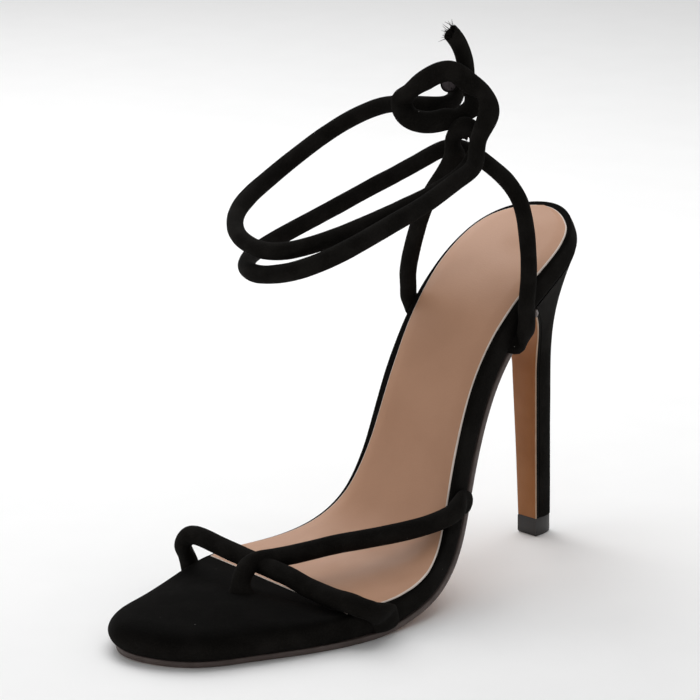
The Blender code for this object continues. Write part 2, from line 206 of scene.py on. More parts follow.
# %% The nap of suede
PATCH_DETAIL = 3.0
FIBRE_DETAIL = 4.0
PATCH_GRADE = (0.38, 0.68)
FIBRE_GRADE = (0.42, 0.72)
PATCH_LIGHT = 0.45
FIBRE_LIGHT = 0.55
PATCH_HEIGHT = 0.35
SUEDE_ROUGHNESS = 0.72
FIBRE_ROUGHNESS = 0.25

suede_nap, given, made = new_group(
    "suede_nap",
    [
        ("Colour", COLOUR),
        ("Brushed Colour", COLOUR),
        ("Patch Size", VALUE),
        ("Fibre Size", VALUE),
        ("Brushing", VALUE),
    ],
    [("Colour", COLOUR), ("Roughness", VALUE), ("Height", VALUE)],
)
broad_noise = speckle(suede_nap, given.outputs["Patch Size"], PATCH_DETAIL)
patches = graded(suede_nap, broad_noise, *PATCH_GRADE)
fibres = speckle(suede_nap, given.outputs["Fibre Size"], FIBRE_DETAIL)
lit_fibres = graded(suede_nap, fibres, *FIBRE_GRADE)
lit_patches = maths(suede_nap, "MULTIPLY", patches, PATCH_LIGHT)
brushed = maths(suede_nap, "MULTIPLY_ADD", lit_fibres, FIBRE_LIGHT, lit_patches)
amount = maths(suede_nap, "MULTIPLY", brushed, given.outputs["Brushing"])
put_out(
    suede_nap,
    made,
    Colour=mixed(suede_nap, amount, given.outputs["Colour"], given.outputs["Brushed Colour"]),
    Roughness=maths(suede_nap, "MULTIPLY_ADD", fibres, FIBRE_ROUGHNESS, SUEDE_ROUGHNESS),
    Height=maths(suede_nap, "MULTIPLY_ADD", patches, PATCH_HEIGHT, fibres),
)
print("suede_nap nodes:", len(suede_nap.nodes))


# %% [markdown]
# Smooth leather shows pores and a slow change of tone. The sock, the sole, its flap and their cut edges
# share this grain with different colours and sizes. Pores are the borders of small cells, which a Voronoi
# texture gives directly; noise alone would look like sponge.


# %% The grain of smooth leather
TONE_DETAIL = 3.0
PORE_GRADE = (0.25, 0.75)
TONE_GRADE = (0.3, 0.72)
PORE_DARKNESS = 0.10
PORE_HEIGHT = -0.5
LEATHER_ROUGHNESS = 0.46
TONE_ROUGHNESS = 0.12

leather_grain, given, made = new_group(
    "leather_grain",
    [
        ("Colour", COLOUR),
        ("Deep Colour", COLOUR),
        ("Pore Size", VALUE),
        ("Tone Size", VALUE),
        ("Tone", VALUE),
    ],
    [("Colour", COLOUR), ("Roughness", VALUE), ("Height", VALUE)],
)
cells = cell_texture(leather_grain, given.outputs["Pore Size"])
pores = graded(leather_grain, cells.outputs["Distance"], *PORE_GRADE)
slow_noise = speckle(leather_grain, given.outputs["Tone Size"], TONE_DETAIL)
tone = graded(leather_grain, slow_noise, *TONE_GRADE)
deep_tone = maths(leather_grain, "MULTIPLY", tone, given.outputs["Tone"])
deep = maths(leather_grain, "MULTIPLY_ADD", pores, PORE_DARKNESS, deep_tone)
put_out(
    leather_grain,
    made,
    Colour=mixed(leather_grain, deep, given.outputs["Colour"], given.outputs["Deep Colour"]),
    Roughness=maths(leather_grain, "MULTIPLY_ADD", tone, TONE_ROUGHNESS, LEATHER_ROUGHNESS),
    Height=maths(leather_grain, "MULTIPLY_ADD", pores, PORE_HEIGHT, tone),
)
print("leather_grain nodes:", len(leather_grain.nodes))


# %% [markdown]
# A dark matt surface picks up lint. Small pale specks, far apart, keep the black from looking painted.
# The group keeps only the middle of a few cells of a Voronoi texture, chosen by each cell's own random
# colour.


# %% Lint on dark surfaces
LINT_RADIUS = 0.09

lint, given, made = new_group(
    "lint",
    [("Colour", COLOUR), ("Lint Colour", COLOUR), ("Spacing", VALUE), ("Share", VALUE)],
    [("Colour", COLOUR)],
)
cells = cell_texture(lint, given.outputs["Spacing"])
middle = maths(lint, "LESS_THAN", cells.outputs["Distance"], LINT_RADIUS)
parts = lint.nodes.new("ShaderNodeSeparateColor")
lint.links.new(cells.outputs["Color"], parts.inputs["Color"])
chosen = maths(lint, "LESS_THAN", parts.outputs["Red"], given.outputs["Share"])
specks = maths(lint, "MULTIPLY", middle, chosen)
put_out(lint, made, Colour=mixed(lint, specks, given.outputs["Colour"], given.outputs["Lint Colour"]))
print("lint nodes:", len(lint.nodes))


# %% [markdown]
# Each material places the groups with its own values and feeds a Principled BSDF. Values that are the
# same all over, such as the sheen, are set on the shader itself.


# %% Material helpers
def new_material(name):
    """Make an empty node material, and return it with its tree and its shader."""
    material = bpy.data.materials.new(name)
    material.use_nodes = True
    return material, material.node_tree, material.node_tree.nodes["Principled BSDF"]


def group_in(tree, group, **values):
    """Place a node group in a material with its own values."""
    node = tree.nodes.new("ShaderNodeGroup")
    node.node_tree = group
    for label, value in values.items():
        join(tree, value, node.inputs[label.replace("_", " ")])
    return node


def relief(tree, shader, height, depth, strength):
    """Feed a height into the shader's normal; depth is in millimetres."""
    bump = tree.nodes.new("ShaderNodeBump")
    bump.inputs["Distance"].default_value = depth * MM
    bump.inputs["Strength"].default_value = strength
    tree.links.new(height, bump.inputs["Height"])
    tree.links.new(bump.outputs["Normal"], shader.inputs["Normal"])


def opaque(colour):
    """Add alpha to a colour."""
    return (*(float(value) for value in colour), 1.0)


# %% [markdown]
# The suede is black all over, but its colour carries painted shade: where it faces up it is painted
# darker, and on walls and round the straps lighter, as the studio light falls on it. Two materials could be
# painted side by side, but the change is gradual. So each suede has a painted strength for tops and one
# for walls, mixed by the way that the surface faces.


# %% Black suede
BLACK = (0.0064, 0.0057, 0.0050)
BRUSHED_BLACK = (0.0185, 0.0168, 0.0152)
SUEDE_BRUSHING = 0.75
SUEDE_SPECULAR = 0.02
SUEDE_SHEEN = 0.008
SUEDE_SHEEN_ROUGHNESS = 0.4
NAP_DEPTH = 0.25
NAP_STRENGTH = 0.6
LINT_GREY = (0.10, 0.095, 0.09)
LINT_SPACING = 2.6
LINT_SHARE = 0.02


def suede_material(name, tops, painted_wall_light, patch_size, fibre_size):
    """Black suede with its own nap and lint, and painted shade: one factor darkens its colour where it faces
    up, another where it stands.
    """
    material, tree, shader = new_material(name)
    surface = tree.nodes.new("ShaderNodeNewGeometry")
    parts = tree.nodes.new("ShaderNodeSeparateXYZ")
    tree.links.new(surface.outputs["Normal"], parts.inputs["Vector"])
    # Painted shade: the colour takes the top factor where the surface faces up and the wall factor where it
    # stands.
    painted_top_shade_mask = graded(tree, parts.outputs["Z"], 0.0, 1.0)
    painted_shade_colours = [
        mixed(tree, painted_top_shade_mask, opaque(painted_wall_light * np.array(colour)), opaque(tops * np.array(colour)))
        for colour in (BLACK, BRUSHED_BLACK)
    ]
    nap = group_in(
        tree,
        suede_nap,
        Colour=painted_shade_colours[0],
        Brushed_Colour=painted_shade_colours[1],
        Patch_Size=patch_size,
        Fibre_Size=fibre_size,
        Brushing=SUEDE_BRUSHING,
    )
    specks = group_in(
        tree,
        lint,
        Colour=nap.outputs["Colour"],
        Lint_Colour=opaque(LINT_GREY),
        Spacing=LINT_SPACING,
        Share=LINT_SHARE,
    )
    tree.links.new(specks.outputs["Colour"], shader.inputs["Base Color"])
    tree.links.new(nap.outputs["Roughness"], shader.inputs["Roughness"])
    shader.inputs["Specular IOR Level"].default_value = SUEDE_SPECULAR
    shader.inputs["Sheen Weight"].default_value = SUEDE_SHEEN
    shader.inputs["Sheen Roughness"].default_value = SUEDE_SHEEN_ROUGHNESS
    relief(tree, shader, nap.outputs["Height"], NAP_DEPTH, NAP_STRENGTH)
    return material


# Painted shade: the footbed's and the straps' tops are painted darker than their walls.
footbed_suede = suede_material("footbed_suede", tops=0.3, painted_wall_light=0.9, patch_size=11.0, fibre_size=0.40)
strap_suede = suede_material("strap_suede", tops=0.7, painted_wall_light=1.0, patch_size=7.0, fibre_size=0.35)
heel_suede = suede_material("heel_suede", tops=1.0, painted_wall_light=1.0, patch_size=9.0, fibre_size=0.40)
print("suedes:", footbed_suede.name, strap_suede.name, heel_suede.name)


# %% [markdown]
# Six surfaces are smooth leather or cut leather: the sock and its pale cut edge, the caramel sole and its
# dyed edge, the thin bare line along its flap, and the grey core of a cord. One function makes them all,
# because they differ only in colour and in the scale of their grain.


# %% Smooth leathers
LEATHER_SPECULAR = 0.3
GRAIN_STRENGTH = 0.35


def leather_material(name, colour, deep_colour, pore_size, tone_size, tone, pore_depth):
    """Smooth leather with its own colours and grain."""
    material, tree, shader = new_material(name)
    grain = group_in(
        tree,
        leather_grain,
        Colour=opaque(colour),
        Deep_Colour=opaque(deep_colour),
        Pore_Size=pore_size,
        Tone_Size=tone_size,
        Tone=tone,
    )
    tree.links.new(grain.outputs["Colour"], shader.inputs["Base Color"])
    tree.links.new(grain.outputs["Roughness"], shader.inputs["Roughness"])
    shader.inputs["Specular IOR Level"].default_value = LEATHER_SPECULAR
    relief(tree, shader, grain.outputs["Height"], pore_depth, GRAIN_STRENGTH)
    return material


# %% Sock, sole and core
sock_leather = leather_material(
    "sock_leather",
    colour=(0.47, 0.258, 0.158),
    deep_colour=(0.395, 0.21, 0.124),
    pore_size=0.55,
    tone_size=26.0,
    tone=0.55,
    pore_depth=0.06,
)
sock_edge = leather_material(
    "sock_edge",
    colour=(0.74, 0.65, 0.585),
    deep_colour=(0.62, 0.52, 0.45),
    pore_size=0.4,
    tone_size=4.0,
    tone=0.7,
    pore_depth=0.08,
)
sole_leather = leather_material(
    "sole_leather",
    colour=(0.335, 0.130, 0.034),
    deep_colour=(0.27, 0.102, 0.027),
    pore_size=0.6,
    tone_size=14.0,
    tone=0.6,
    pore_depth=0.06,
)
sole_edge = leather_material(
    "sole_edge",
    colour=(0.105, 0.080, 0.072),
    deep_colour=(0.07, 0.052, 0.046),
    pore_size=0.5,
    tone_size=6.0,
    tone=0.7,
    pore_depth=0.08,
)
flap_edge = leather_material(
    "flap_edge",
    colour=(0.50, 0.36, 0.26),
    deep_colour=(0.38, 0.25, 0.17),
    pore_size=0.4,
    tone_size=4.0,
    tone=0.7,
    pore_depth=0.08,
)
cord_core = leather_material(
    "cord_core",
    colour=(0.10, 0.082, 0.088),
    deep_colour=(0.05, 0.041, 0.044),
    pore_size=0.5,
    tone_size=1.2,
    tone=0.8,
    pore_depth=0.2,
)
leathers = (sock_leather, sock_edge, sole_leather, sole_edge, flap_edge, cord_core)
print("leathers:", [leather.name for leather in leathers])


# %% [markdown]
# The heel stands on hard rubber. It is moulded, so it is smoother than suede, and its foot picks up dust.
# The lint group serves for the dust too, with specks that lie closer together.


# %% Hard rubber
RUBBER = (0.013, 0.0102, 0.0092)
RUBBER_DUST = (0.10, 0.09, 0.085)
DUST_SPACING = 1.1
DUST_SHARE = 0.25
MOULDING_SIZE = 0.5
MOULDING_DETAIL = 3.0
MOULDING_DEPTH = 0.05
MOULDING_STRENGTH = 0.4
RUBBER_ROUGHNESS = 0.36
MOULDING_ROUGHNESS = 0.2

top_piece_rubber, tree, shader = new_material("top_piece_rubber")
dust = group_in(
    tree,
    lint,
    Colour=opaque(RUBBER),
    Lint_Colour=opaque(RUBBER_DUST),
    Spacing=DUST_SPACING,
    Share=DUST_SHARE,
)
tree.links.new(dust.outputs["Colour"], shader.inputs["Base Color"])
moulding = speckle(tree, MOULDING_SIZE, MOULDING_DETAIL)
roughness = maths(tree, "MULTIPLY_ADD", moulding, MOULDING_ROUGHNESS, RUBBER_ROUGHNESS)
tree.links.new(roughness, shader.inputs["Roughness"])
relief(tree, shader, moulding, MOULDING_DEPTH, MOULDING_STRENGTH)
print("rubber nodes:", len(tree.nodes))


# %% [markdown]
# ## Curves and the last
#
# Straps and soles are drawn through a few points each, in one smooth line. A natural cubic spline gives
# that line. It is then read again at even steps, so that the rings of a skin are evenly spaced too.
# Blender's own curves could draw the line, but here its points are needed as numbers, to press and to
# crease what lies round them.


# %% Smooth, evenly spaced paths
SPAN_POINTS = 16


def smooth_curve(points, per_span):
    """Return points on a natural cubic spline through points, per_span to each span."""
    points = np.asarray(points, float)
    steps = np.sqrt(np.linalg.norm(np.diff(points, axis=0), axis=1))
    count = len(points)
    system = np.eye(count)
    right = np.zeros_like(points)
    for i in range(1, count - 1):
        before, after = steps[i - 1], steps[i]
        system[i, i - 1 : i + 2] = before, 2 * (before + after), after
        right[i] = 6 * ((points[i + 1] - points[i]) / after - (points[i] - points[i - 1]) / before)
    bend = np.linalg.solve(system, right)
    curve = []
    for i, step in enumerate(steps):
        for t in np.arange(per_span) / per_span:
            a, b = 1 - t, t
            straight = a * points[i] + b * points[i + 1]
            curve.append(straight + step**2 / 6 * ((a**3 - a) * bend[i] + (b**3 - b) * bend[i + 1]))
    curve.append(points[-1])
    return np.array(curve)


def arc_lengths(curve):
    """Return the distance from the curve's start to each of its points."""
    return np.concatenate([[0.0], np.cumsum(np.linalg.norm(np.diff(curve, axis=0), axis=1))])


def even_path(route, step):
    """Return an evenly spaced path through a route, and which row of the route each point is at."""
    curve = smooth_curve(route, SPAN_POINTS)
    run = arc_lengths(curve)
    at = np.linspace(0.0, run[-1], int(run[-1] / step) + 1)
    path = np.column_stack([np.interp(at, run, curve[:, axis]) for axis in range(3)])
    return path, np.interp(at, run, np.arange(len(curve)) / SPAN_POINTS)


def unit(vectors):
    """Return vectors of length 1."""
    return vectors / np.linalg.norm(vectors, axis=-1, keepdims=True)


def ease(values):
    """Ease values from 0 to 1, and hold them outside."""
    held = np.clip(values, 0, 1)
    return held**2 * (3 - 2 * held)


quarter_turn = [(cos(angle), sin(angle), 0.0) for angle in np.linspace(0, pi / 2, 5)]
measured_turn = arc_lengths(smooth_curve(quarter_turn, SPAN_POINTS))[-1]
print("a quarter turn, measured against its true length:", round(measured_turn / (pi / 2), 4))


# %% [markdown]
# A shoe is built on a last, the form of the foot. It could be sculpted, but a short table keeps every
# number in sight: how steep the footbed is and how far each edge stands from its middle line. The slope is
# summed into a side view, and the edges are two smooth curves that meet at heel and toe.


# %% The last
GAP = 0.3
FOOTBED_LENGTH = 245.0
FOOTBED_THICKNESS = 8.4
OUTSOLE_THICKNESS = 1.8
BALL_ALONG = 186.0
BALL_FORWARD = 46.8
TREAD_FROM = 174.0
TREAD_TO = 206.0
# Columns: along, slope_deg, lateral, medial
LAST = (
    (0, 26.5, 0.0, 0.0),
    (7, 27.5, 14.6, 16.8),
    (22, 30.0, 22.3, 23.8),
    (44, 40.0, 23.0, 24.1),
    (60, 49.7, 22.4, 23.3),
    (78, 58.5, 22.2, 22.1),
    (100, 63.0, 24.3, 20.4),
    (118, 59.7, 28.0, 20.1),
    (132, 44.7, 33.1, 22.4),
    (147, 24.5, 38.0, 29.5),
    (160, 11.8, 39.4, 38.2),
    (172, 4.2, 39.7, 42.4),
    (196, 0.0, 35.8, 36.4),
    (220, 0.0, 26.8, 28.2),
    (236, -1.4, 17.0, 21.6),
    (245, -2.6, -6.0, 6.0),
)
LAST_ALONG, LAST_SLOPE, LAST_LATERAL, LAST_MEDIAL = np.array(LAST, float).T
print("steepest slope of the footbed, degrees:", LAST_SLOPE.max())


# %% Side view of the last
PROFILE_POINTS = 491
SLOPE_PER_SPAN = 12


def profile():
    """Return along, y, z and slope of the footbed's top, from the back of the heel to the toe."""
    along = np.linspace(0, FOOTBED_LENGTH, PROFILE_POINTS)
    smooth = smooth_curve(np.column_stack([LAST_ALONG, LAST_SLOPE]), SLOPE_PER_SPAN)
    slope = np.radians(np.interp(along, smooth[:, 0], smooth[:, 1]))
    slope[along < TREAD_FROM] = np.maximum(slope[along < TREAD_FROM], 0.0)
    slope[along > TREAD_TO] = np.minimum(slope[along > TREAD_TO], 0.0)
    slope[(along >= TREAD_FROM) & (along <= TREAD_TO)] = 0.0
    step = along[1]
    y = -np.concatenate([[0.0], np.cumsum(np.cos(slope[:-1]) * step)])
    z = -np.concatenate([[0.0], np.cumsum(np.sin(slope[:-1]) * step)])
    top_of_ball = FOOTBED_THICKNESS + GAP + OUTSOLE_THICKNESS
    y += -BALL_FORWARD - np.interp(BALL_ALONG, along, y)
    z += top_of_ball - z.min()
    return along, y, z, slope


PROFILE = profile()


def on_footbed(along, across, depth):
    """Return the point at a place on the footbed, depth below its top."""
    grid, ys, zs, slopes = PROFILE
    over = along - np.clip(along, grid[0], grid[-1])
    slope = np.interp(along, grid, slopes)
    y = np.interp(along, grid, ys) - over * np.cos(slope) + depth * np.sin(slope)
    z = np.interp(along, grid, zs) - over * np.sin(slope) - depth * np.cos(slope)
    return np.column_stack([across * np.ones_like(y), y, z])


print("back of the heel over the floor, mm:", round(float(PROFILE[2][0]), 1))


# %% Edges of the last
def last_edges():
    """Return dense (along, across) points of the lateral and medial edges, each from heel to toe."""
    lateral = np.column_stack([LAST_ALONG, LAST_LATERAL])
    medial = np.column_stack([LAST_ALONG, -LAST_MEDIAL])
    wrap = 3
    loop = np.concatenate([medial[wrap:0:-1], lateral, medial[-2::-1], lateral[1 : wrap + 1]])
    dense = smooth_curve(loop, SPAN_POINTS)[wrap * SPAN_POINTS : -wrap * SPAN_POINTS]
    toe = int(np.argmax(dense[:, 0]))
    return dense[: toe + 1], dense[toe:][::-1]


LATERAL_EDGE, MEDIAL_EDGE = last_edges()
TOE_END = LATERAL_EDGE[-1, 0]
print("footbed over its top, mm:", round(TOE_END, 1))


# %% [markdown]
# Footbed, sock, heel seat and sole all follow the last, each a little inside its edge and at its own
# depth. So one function gives rings of points round the last. Towards the toe a ring can go over to
# another inset and depth, because the shoe is rounder there.


# %% Rings round the last
TOE_ROUND_FROM = 180.0
TOE_ROUND_TO = 218.0


def toe_share(along):
    """Return how far the rim has changed to its form at the toe, from 0 to 1."""
    return ease((along - TOE_ROUND_FROM) / (TOE_ROUND_TO - TOE_ROUND_FROM))


def edge_across(edge, inset, toe_inset, along):
    """Return how far an edge, moved inward, stands from the middle line at values of along."""
    tangent = unit(np.gradient(edge, axis=0))
    outer_side = np.sign(edge[len(edge) // 2, 1])
    inward = outer_side * np.column_stack([tangent[:, 1], -tangent[:, 0]])
    inward[0] = (1.0, 0.0)
    inward[-1] = (-1.0, 0.0)
    moved = edge + (inset + (toe_inset - inset) * toe_share(edge[:, 0]))[:, None] * inward
    return np.interp(along, np.maximum.accumulate(moved[:, 0]), moved[:, 1])


def stations(first, last, samples):
    """Return values of along between two of them, close together where the outline turns round its ends."""
    run = arc_lengths(LATERAL_EDGE)
    start, end = np.interp((first, last), LATERAL_EDGE[:, 0], run)
    return np.interp(np.linspace(start, end, samples + 1), run, LATERAL_EDGE[:, 0])


def footbed_ring(inset, depth, along_lateral, along_medial=None, toe=None):
    """Return a ring of points round the last, as its lateral and medial halves from heel to toe."""
    toe_inset, toe_depth = toe or (inset, depth)
    halves = []
    for edge, along in ((LATERAL_EDGE, along_lateral), (MEDIAL_EDGE, along_medial)):
        along = along_lateral if along is None else along
        within = inset + along * (TOE_END - inset - toe_inset) / TOE_END
        across = edge_across(edge, inset, toe_inset, within)
        halves.append(on_footbed(within, across, depth + (toe_depth - depth) * toe_share(within)))
    return halves


ball_ring = footbed_ring(0.0, 0.0, np.array([BALL_ALONG]))
print("width at the ball, mm:", round(float(ball_ring[0][0, 0] - ball_ring[1][0, 0]), 1))


# %% [markdown]
# ## The ankle tie
#
# Two suede cords rise from the sides of the heel, go round the ankle and meet in a knot on the outer
# side. Each is a tube sewn from suede round a soft core, so it keeps the loops that it was tied in. The
# routes follow the solids' routes, with a few rows moved by some two millimetres to bring out the knot.
# The rows are in upright axes turned to face the camera: across, up and out. A curve with a bevel would
# give an even pipe. Here the tube is swept in code, because a real cord is pressed flat where it is tied,
# and its skin creases on the inside of a bend.


# %% Routes of the tie
TIE_CORD = 5.6
TIE_HEADING = radians(46.0)
# Columns: across, up, out
LATERAL_TIE = (
    (54.0, 92.3, -16.4),
    (54.1, 97.0, -15.8),
    (54.7, 105.4, -15.6),
    (54.0, 120.0, -19.0),
    (51.8, 129.6, -23.0),
    (47.0, 136.0, -28.0),
    (40.7, 140.6, -33.0),
    (34.0, 144.4, -36.0),
    (27.4, 144.3, -39.0),
    (18.5, 139.0, -43.0),
    (3.0, 130.0, -46.0),
    (-12.7, 121.9, -44.0),
    (-24.5, 117.0, -38.0),
    (-35.0, 113.5, -27.0),
    (-39.8, 112.8, -12.0),
    (-39.4, 112.8, 2.0),
    (-34.0, 113.8, 13.0),
    (-21.9, 117.4, 21.0),
    (-6.9, 123.7, 21.5),
    (7.4, 130.5, 16.0),
    (20.9, 137.0, 9.0),
    (30.6, 142.6, 2.5),
    (36.2, 146.8, -2.5),
    (37.5, 153.7, -7.0),
    (41.1, 161.6, -12.0),
    (39.8, 167.8, -16.0),
    (34.6, 171.8, -18.0),
    (28.5, 175.8, -18.0),
    (20.4, 172.8, -20.0),
    (15.6, 167.6, -24.0),
    (12.4, 162.3, -27.0),
    (14.4, 157.5, -26.0),
    (20.8, 155.8, -24.0),
    (27.0, 157.2, -22.0),
    (32.0, 159.0, -23.0),
    (35.1, 161.6, -25.0),
    (35.7, 165.1, -28.0),
    (34.4, 169.9, -29.0),
    (33.7, 176.6, -27.0),
    (31.4, 183.6, -24.0),
    (29.1, 187.2, -22.0),
)
MEDIAL_TIE = (
    (14.4, 88.6, -50.3),
    (14.1, 92.5, -48.8),
    (14.0, 97.4, -46.6),
    (14.6, 103.5, -44.0),
    (17.0, 114.9, -39.0),
    (21.5, 129.0, -32.0),
    (27.6, 140.6, -26.0),
    (29.3, 147.2, -22.4),
    (29.8, 152.2, -20.9),
    (33.2, 155.6, -19.2),
    (36.8, 154.2, -17.6),
    (37.4, 149.6, -15.8),
    (35.1, 144.9, -13.0),
    (31.3, 141.3, -9.8),
    (25.1, 138.1, -5.0),
    (18.0, 135.5, 0.0),
    (3.0, 130.5, 8.0),
    (-16.5, 124.3, 14.0),
    (-31.0, 121.4, 12.0),
    (-40.8, 122.7, 2.0),
    (-44.1, 125.7, -12.0),
    (-41.3, 129.1, -28.0),
    (-32.8, 134.2, -42.0),
    (-17.3, 144.8, -50.0),
    (-2.4, 154.8, -46.0),
    (8.5, 159.5, -40.5),
    (14.5, 160.0, -37.0),
    (20.0, 159.8, -36.0),
    (27.0, 159.4, -38.4),
    (30.6, 161.2, -43.4),
    (31.3, 164.8, -46.0),
    (30.9, 168.4, -44.6),
    (29.9, 169.4, -40.4),
    (29.0, 168.8, -35.6),
    (28.3, 168.0, -31.0),
)
ACROSS_AXIS = np.array([cos(TIE_HEADING), sin(TIE_HEADING), 0.0])
UP_AXIS = np.array([0.0, 0.0, 1.0])
OUT_AXIS = np.array([sin(TIE_HEADING), -cos(TIE_HEADING), 0.0])


def tie_route(rows):
    """Turn rows of across, up and out into points of the drawing."""
    return np.array([across * ACROSS_AXIS + up * UP_AXIS + out * OUT_AXIS for across, up, out in rows])


print("rows of the tie:", len(LATERAL_TIE), len(MEDIAL_TIE))


# %% [markdown]
# Every strap comes down the wall of the footbed and turns in between the footbed and the sole, where it
# is glued. Its end is pressed flat there and bulges over the edge of the sole. Three points give that
# end, so the tables hold only the rows above it.


# %% Ends of the straps at the wall
# Columns: how far outside the edge, how deep below the footbed's top
STRAP_FOOT = ((-4.0, 6.0), (0.9, 8.1), (2.2, 4.2))


def beside(edge, along, outside, depth):
    """Return a point outside an edge of the footbed, depth below its top."""
    across = np.interp(along, edge[:, 0], edge[:, 1])
    return on_footbed(np.array([along]), across + np.sign(across) * outside, depth)[0]


def strap_foot(edge, places, tuck, drop=0.0):
    """Return a strap's end, from inside the footbed up its wall, moved inward by tuck and down by drop."""
    rows = zip(places, STRAP_FOOT)
    return np.array([beside(edge, along, outside - tuck, depth + drop) for along, (outside, depth) in rows])


def edge_way(edge, along):
    """Return the direction in which an edge of the footbed runs."""
    return unit(beside(edge, along + 1.0, 0.0, 0.0) - beside(edge, along - 1.0, 0.0, 0.0))


lateral_foot = strap_foot(LATERAL_EDGE, (58.0, 57.0, 51.5), tuck=-0.5, drop=0.7)
medial_foot = strap_foot(MEDIAL_EDGE, (58.5, 58.0, 56.0), tuck=0.0)
LATERAL_ROUTE = np.concatenate([lateral_foot, tie_route(LATERAL_TIE)])
MEDIAL_ROUTE = np.concatenate([medial_foot, tie_route(MEDIAL_TIE)])
print("rows of the two cords:", len(LATERAL_ROUTE), len(MEDIAL_ROUTE))


# %% [markdown]
# A ring of points is carried along the path without twisting. Where the cord is pressed, the ring gets
# thinner along one direction and wider across it. Small lumps and, on the inside of tight bends, creases
# are added to its radius. They are real shape, so they show on the outline too.


# %% Rings of a suede cord
CORD_STEP = 0.8
CORD_SIDES = 28
LUMP_SIZE = 7.0
LUMP_HEIGHT = 0.10
LUMP_SHIFT = (17.3, 5.1, 2.7)
START_SIDE = UP_AXIS + 0.1 * ACROSS_AXIS
FACING = "flat towards the camera's side"


def cord_frames(path):
    """Return tangents and two directions square to them that don't twist along the path."""
    tangents = unit(np.gradient(path, axis=0))
    sides = np.zeros_like(path)
    sides[0] = unit(np.cross(tangents[0], START_SIDE))
    for i in range(1, len(path)):
        carried = sides[i - 1] - np.dot(sides[i - 1], tangents[i]) * tangents[i]
        sides[i] = unit(carried)
    return tangents, sides, np.cross(tangents, sides)


def lumps(points, size, seed):
    """Return a smooth noise between about -1 and 1 at points in millimetres."""
    shift = Vector([value * seed for value in LUMP_SHIFT])
    return np.array([noise.noise(Vector(point) / size + shift) for point in points.reshape(-1, 3)])


def pressed_rings(rings, tangents, amount, spread, thin, wide):
    """Spread rings along a direction by wide and flatten them across it by thin, where amount says."""
    along = unit(spread - np.sum(spread * tangents, axis=1)[:, None] * tangents)
    across = np.cross(tangents, along)
    for axis, factor in ((along, wide), (across, thin)):
        reach = np.einsum("rsk,rk->rs", rings, axis)
        rings = rings + (factor - 1) * amount[:, None, None] * reach[:, :, None] * axis[:, None, :]
    return rings


print("rings on 100 mm of cord:", round(100 / CORD_STEP))


# %% The skin of a suede cord
CREASE_SPACING = 1.9
CREASE_DEPTH = 0.28
CREASE_BEND_FROM = 0.12
CREASE_BEND_MOST = 0.5
CREASE_WANDER = 5.0
CREASE_WANDER_SIZE = 5.0
CREASE_SEED = 3


def creases(path, tangents, spokes, diameter, seed):
    """Return how deep the skin is creased round each ring: only on the inside of tight bends."""
    bend = np.gradient(tangents, axis=0) / CORD_STEP
    tight = np.einsum("rsk,rk->rs", spokes, bend) * diameter / 2 - CREASE_BEND_FROM
    inside = np.clip(tight, 0, CREASE_BEND_MOST)
    wander = lumps(path, CREASE_WANDER_SIZE, seed + CREASE_SEED)
    turns = 2 * pi * np.arange(len(path)) * CORD_STEP / CREASE_SPACING
    wave = np.sin(turns + CREASE_WANDER * wander)
    return CREASE_DEPTH * inside * (1 + wave[:, None])


def cord_rings(route, diameter, swells, presses, seed):
    """Return the path of a suede cord and the rings of its skin, in millimetres."""
    path, row = even_path(route, CORD_STEP)
    tangents, sides, others = cord_frames(path)
    angle = np.linspace(0, 2 * pi, CORD_SIDES, endpoint=False)[None, :, None]
    spokes = np.cos(angle) * sides[:, None, :] + np.sin(angle) * others[:, None, :]
    thickness = diameter * np.interp(row, *np.transpose(swells))
    rings = spokes * thickness[:, None, None] / 2
    middle = path.copy()
    for first, last, spread, thin, wide, shift in presses:
        amount = ease(row - first + 1) * ease(last + 1 - row)
        ways = np.cross(tangents, OUT_AXIS) if spread is FACING else np.array(spread)
        rings = pressed_rings(rings, tangents, amount, ways, thin, wide)
        middle += amount[:, None] * np.array(shift)
    skin = middle[:, None, :] + rings
    swell = LUMP_HEIGHT * lumps(skin, LUMP_SIZE, seed).reshape(skin.shape[:2])
    swell -= creases(path, tangents, spokes, diameter, seed)
    return path, skin + swell[:, :, None] * spokes


# %% [markdown]
# A piece is a mesh object that is linked into the scene, rides on the shoe's one body and wears its own
# materials. A tube is made from rings by joining each ring to the next. Blender's Skin modifier could make
# one from the path alone, but then its section couldn't be pressed, and its cut end couldn't have a
# material of its own.


# %% Pieces and tubes
CORD_SHARP_ANGLE = radians(50)


def add_piece(name, mesh, materials):
    """Link a mesh as a piece of the sandal, with its materials."""
    piece = bpy.data.objects.new(name, mesh)
    for material in materials:
        mesh.materials.append(material)
    bpy.context.scene.collection.objects.link(piece)
    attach(piece, "root")
    return piece


def dress(node, name, mesh, materials):
    """Add a mesh as a piece in place of a solid, and hide the solid."""
    piece = add_piece(name, mesh, materials)
    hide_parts(node)
    print(name, "faces:", len(mesh.polygons))
    return piece


def tube_mesh(name, rings, end_rings=()):
    """Make a closed mesh from rings; end_rings continue it with another material index."""
    loops = np.concatenate([rings, end_rings]) if len(end_rings) else rings
    count, sides = loops.shape[:2]
    faces = []
    for i in range(count - 1):
        for j in range(sides):
            k = (j + 1) % sides
            faces.append((i * sides + j, i * sides + k, (i + 1) * sides + k, (i + 1) * sides + j))
    faces.append(tuple(range(sides))[::-1])
    faces.append(tuple((count - 1) * sides + j for j in range(sides)))
    mesh = bpy.data.meshes.new(name)
    mesh.from_pydata(placed(loops.reshape(-1, 3)).tolist(), [], faces)
    build = bmesh.new()
    build.from_mesh(mesh)
    bmesh.ops.recalc_face_normals(build, faces=build.faces)
    build.to_mesh(mesh)
    build.free()
    core_from = (len(rings) - 1) * sides
    for polygon in mesh.polygons:
        if len(end_rings) and min(polygon.vertices) >= core_from:
            polygon.material_index = 1
    mesh.shade_smooth()
    mesh.set_sharp_from_angle(angle=CORD_SHARP_ANGLE)
    return mesh


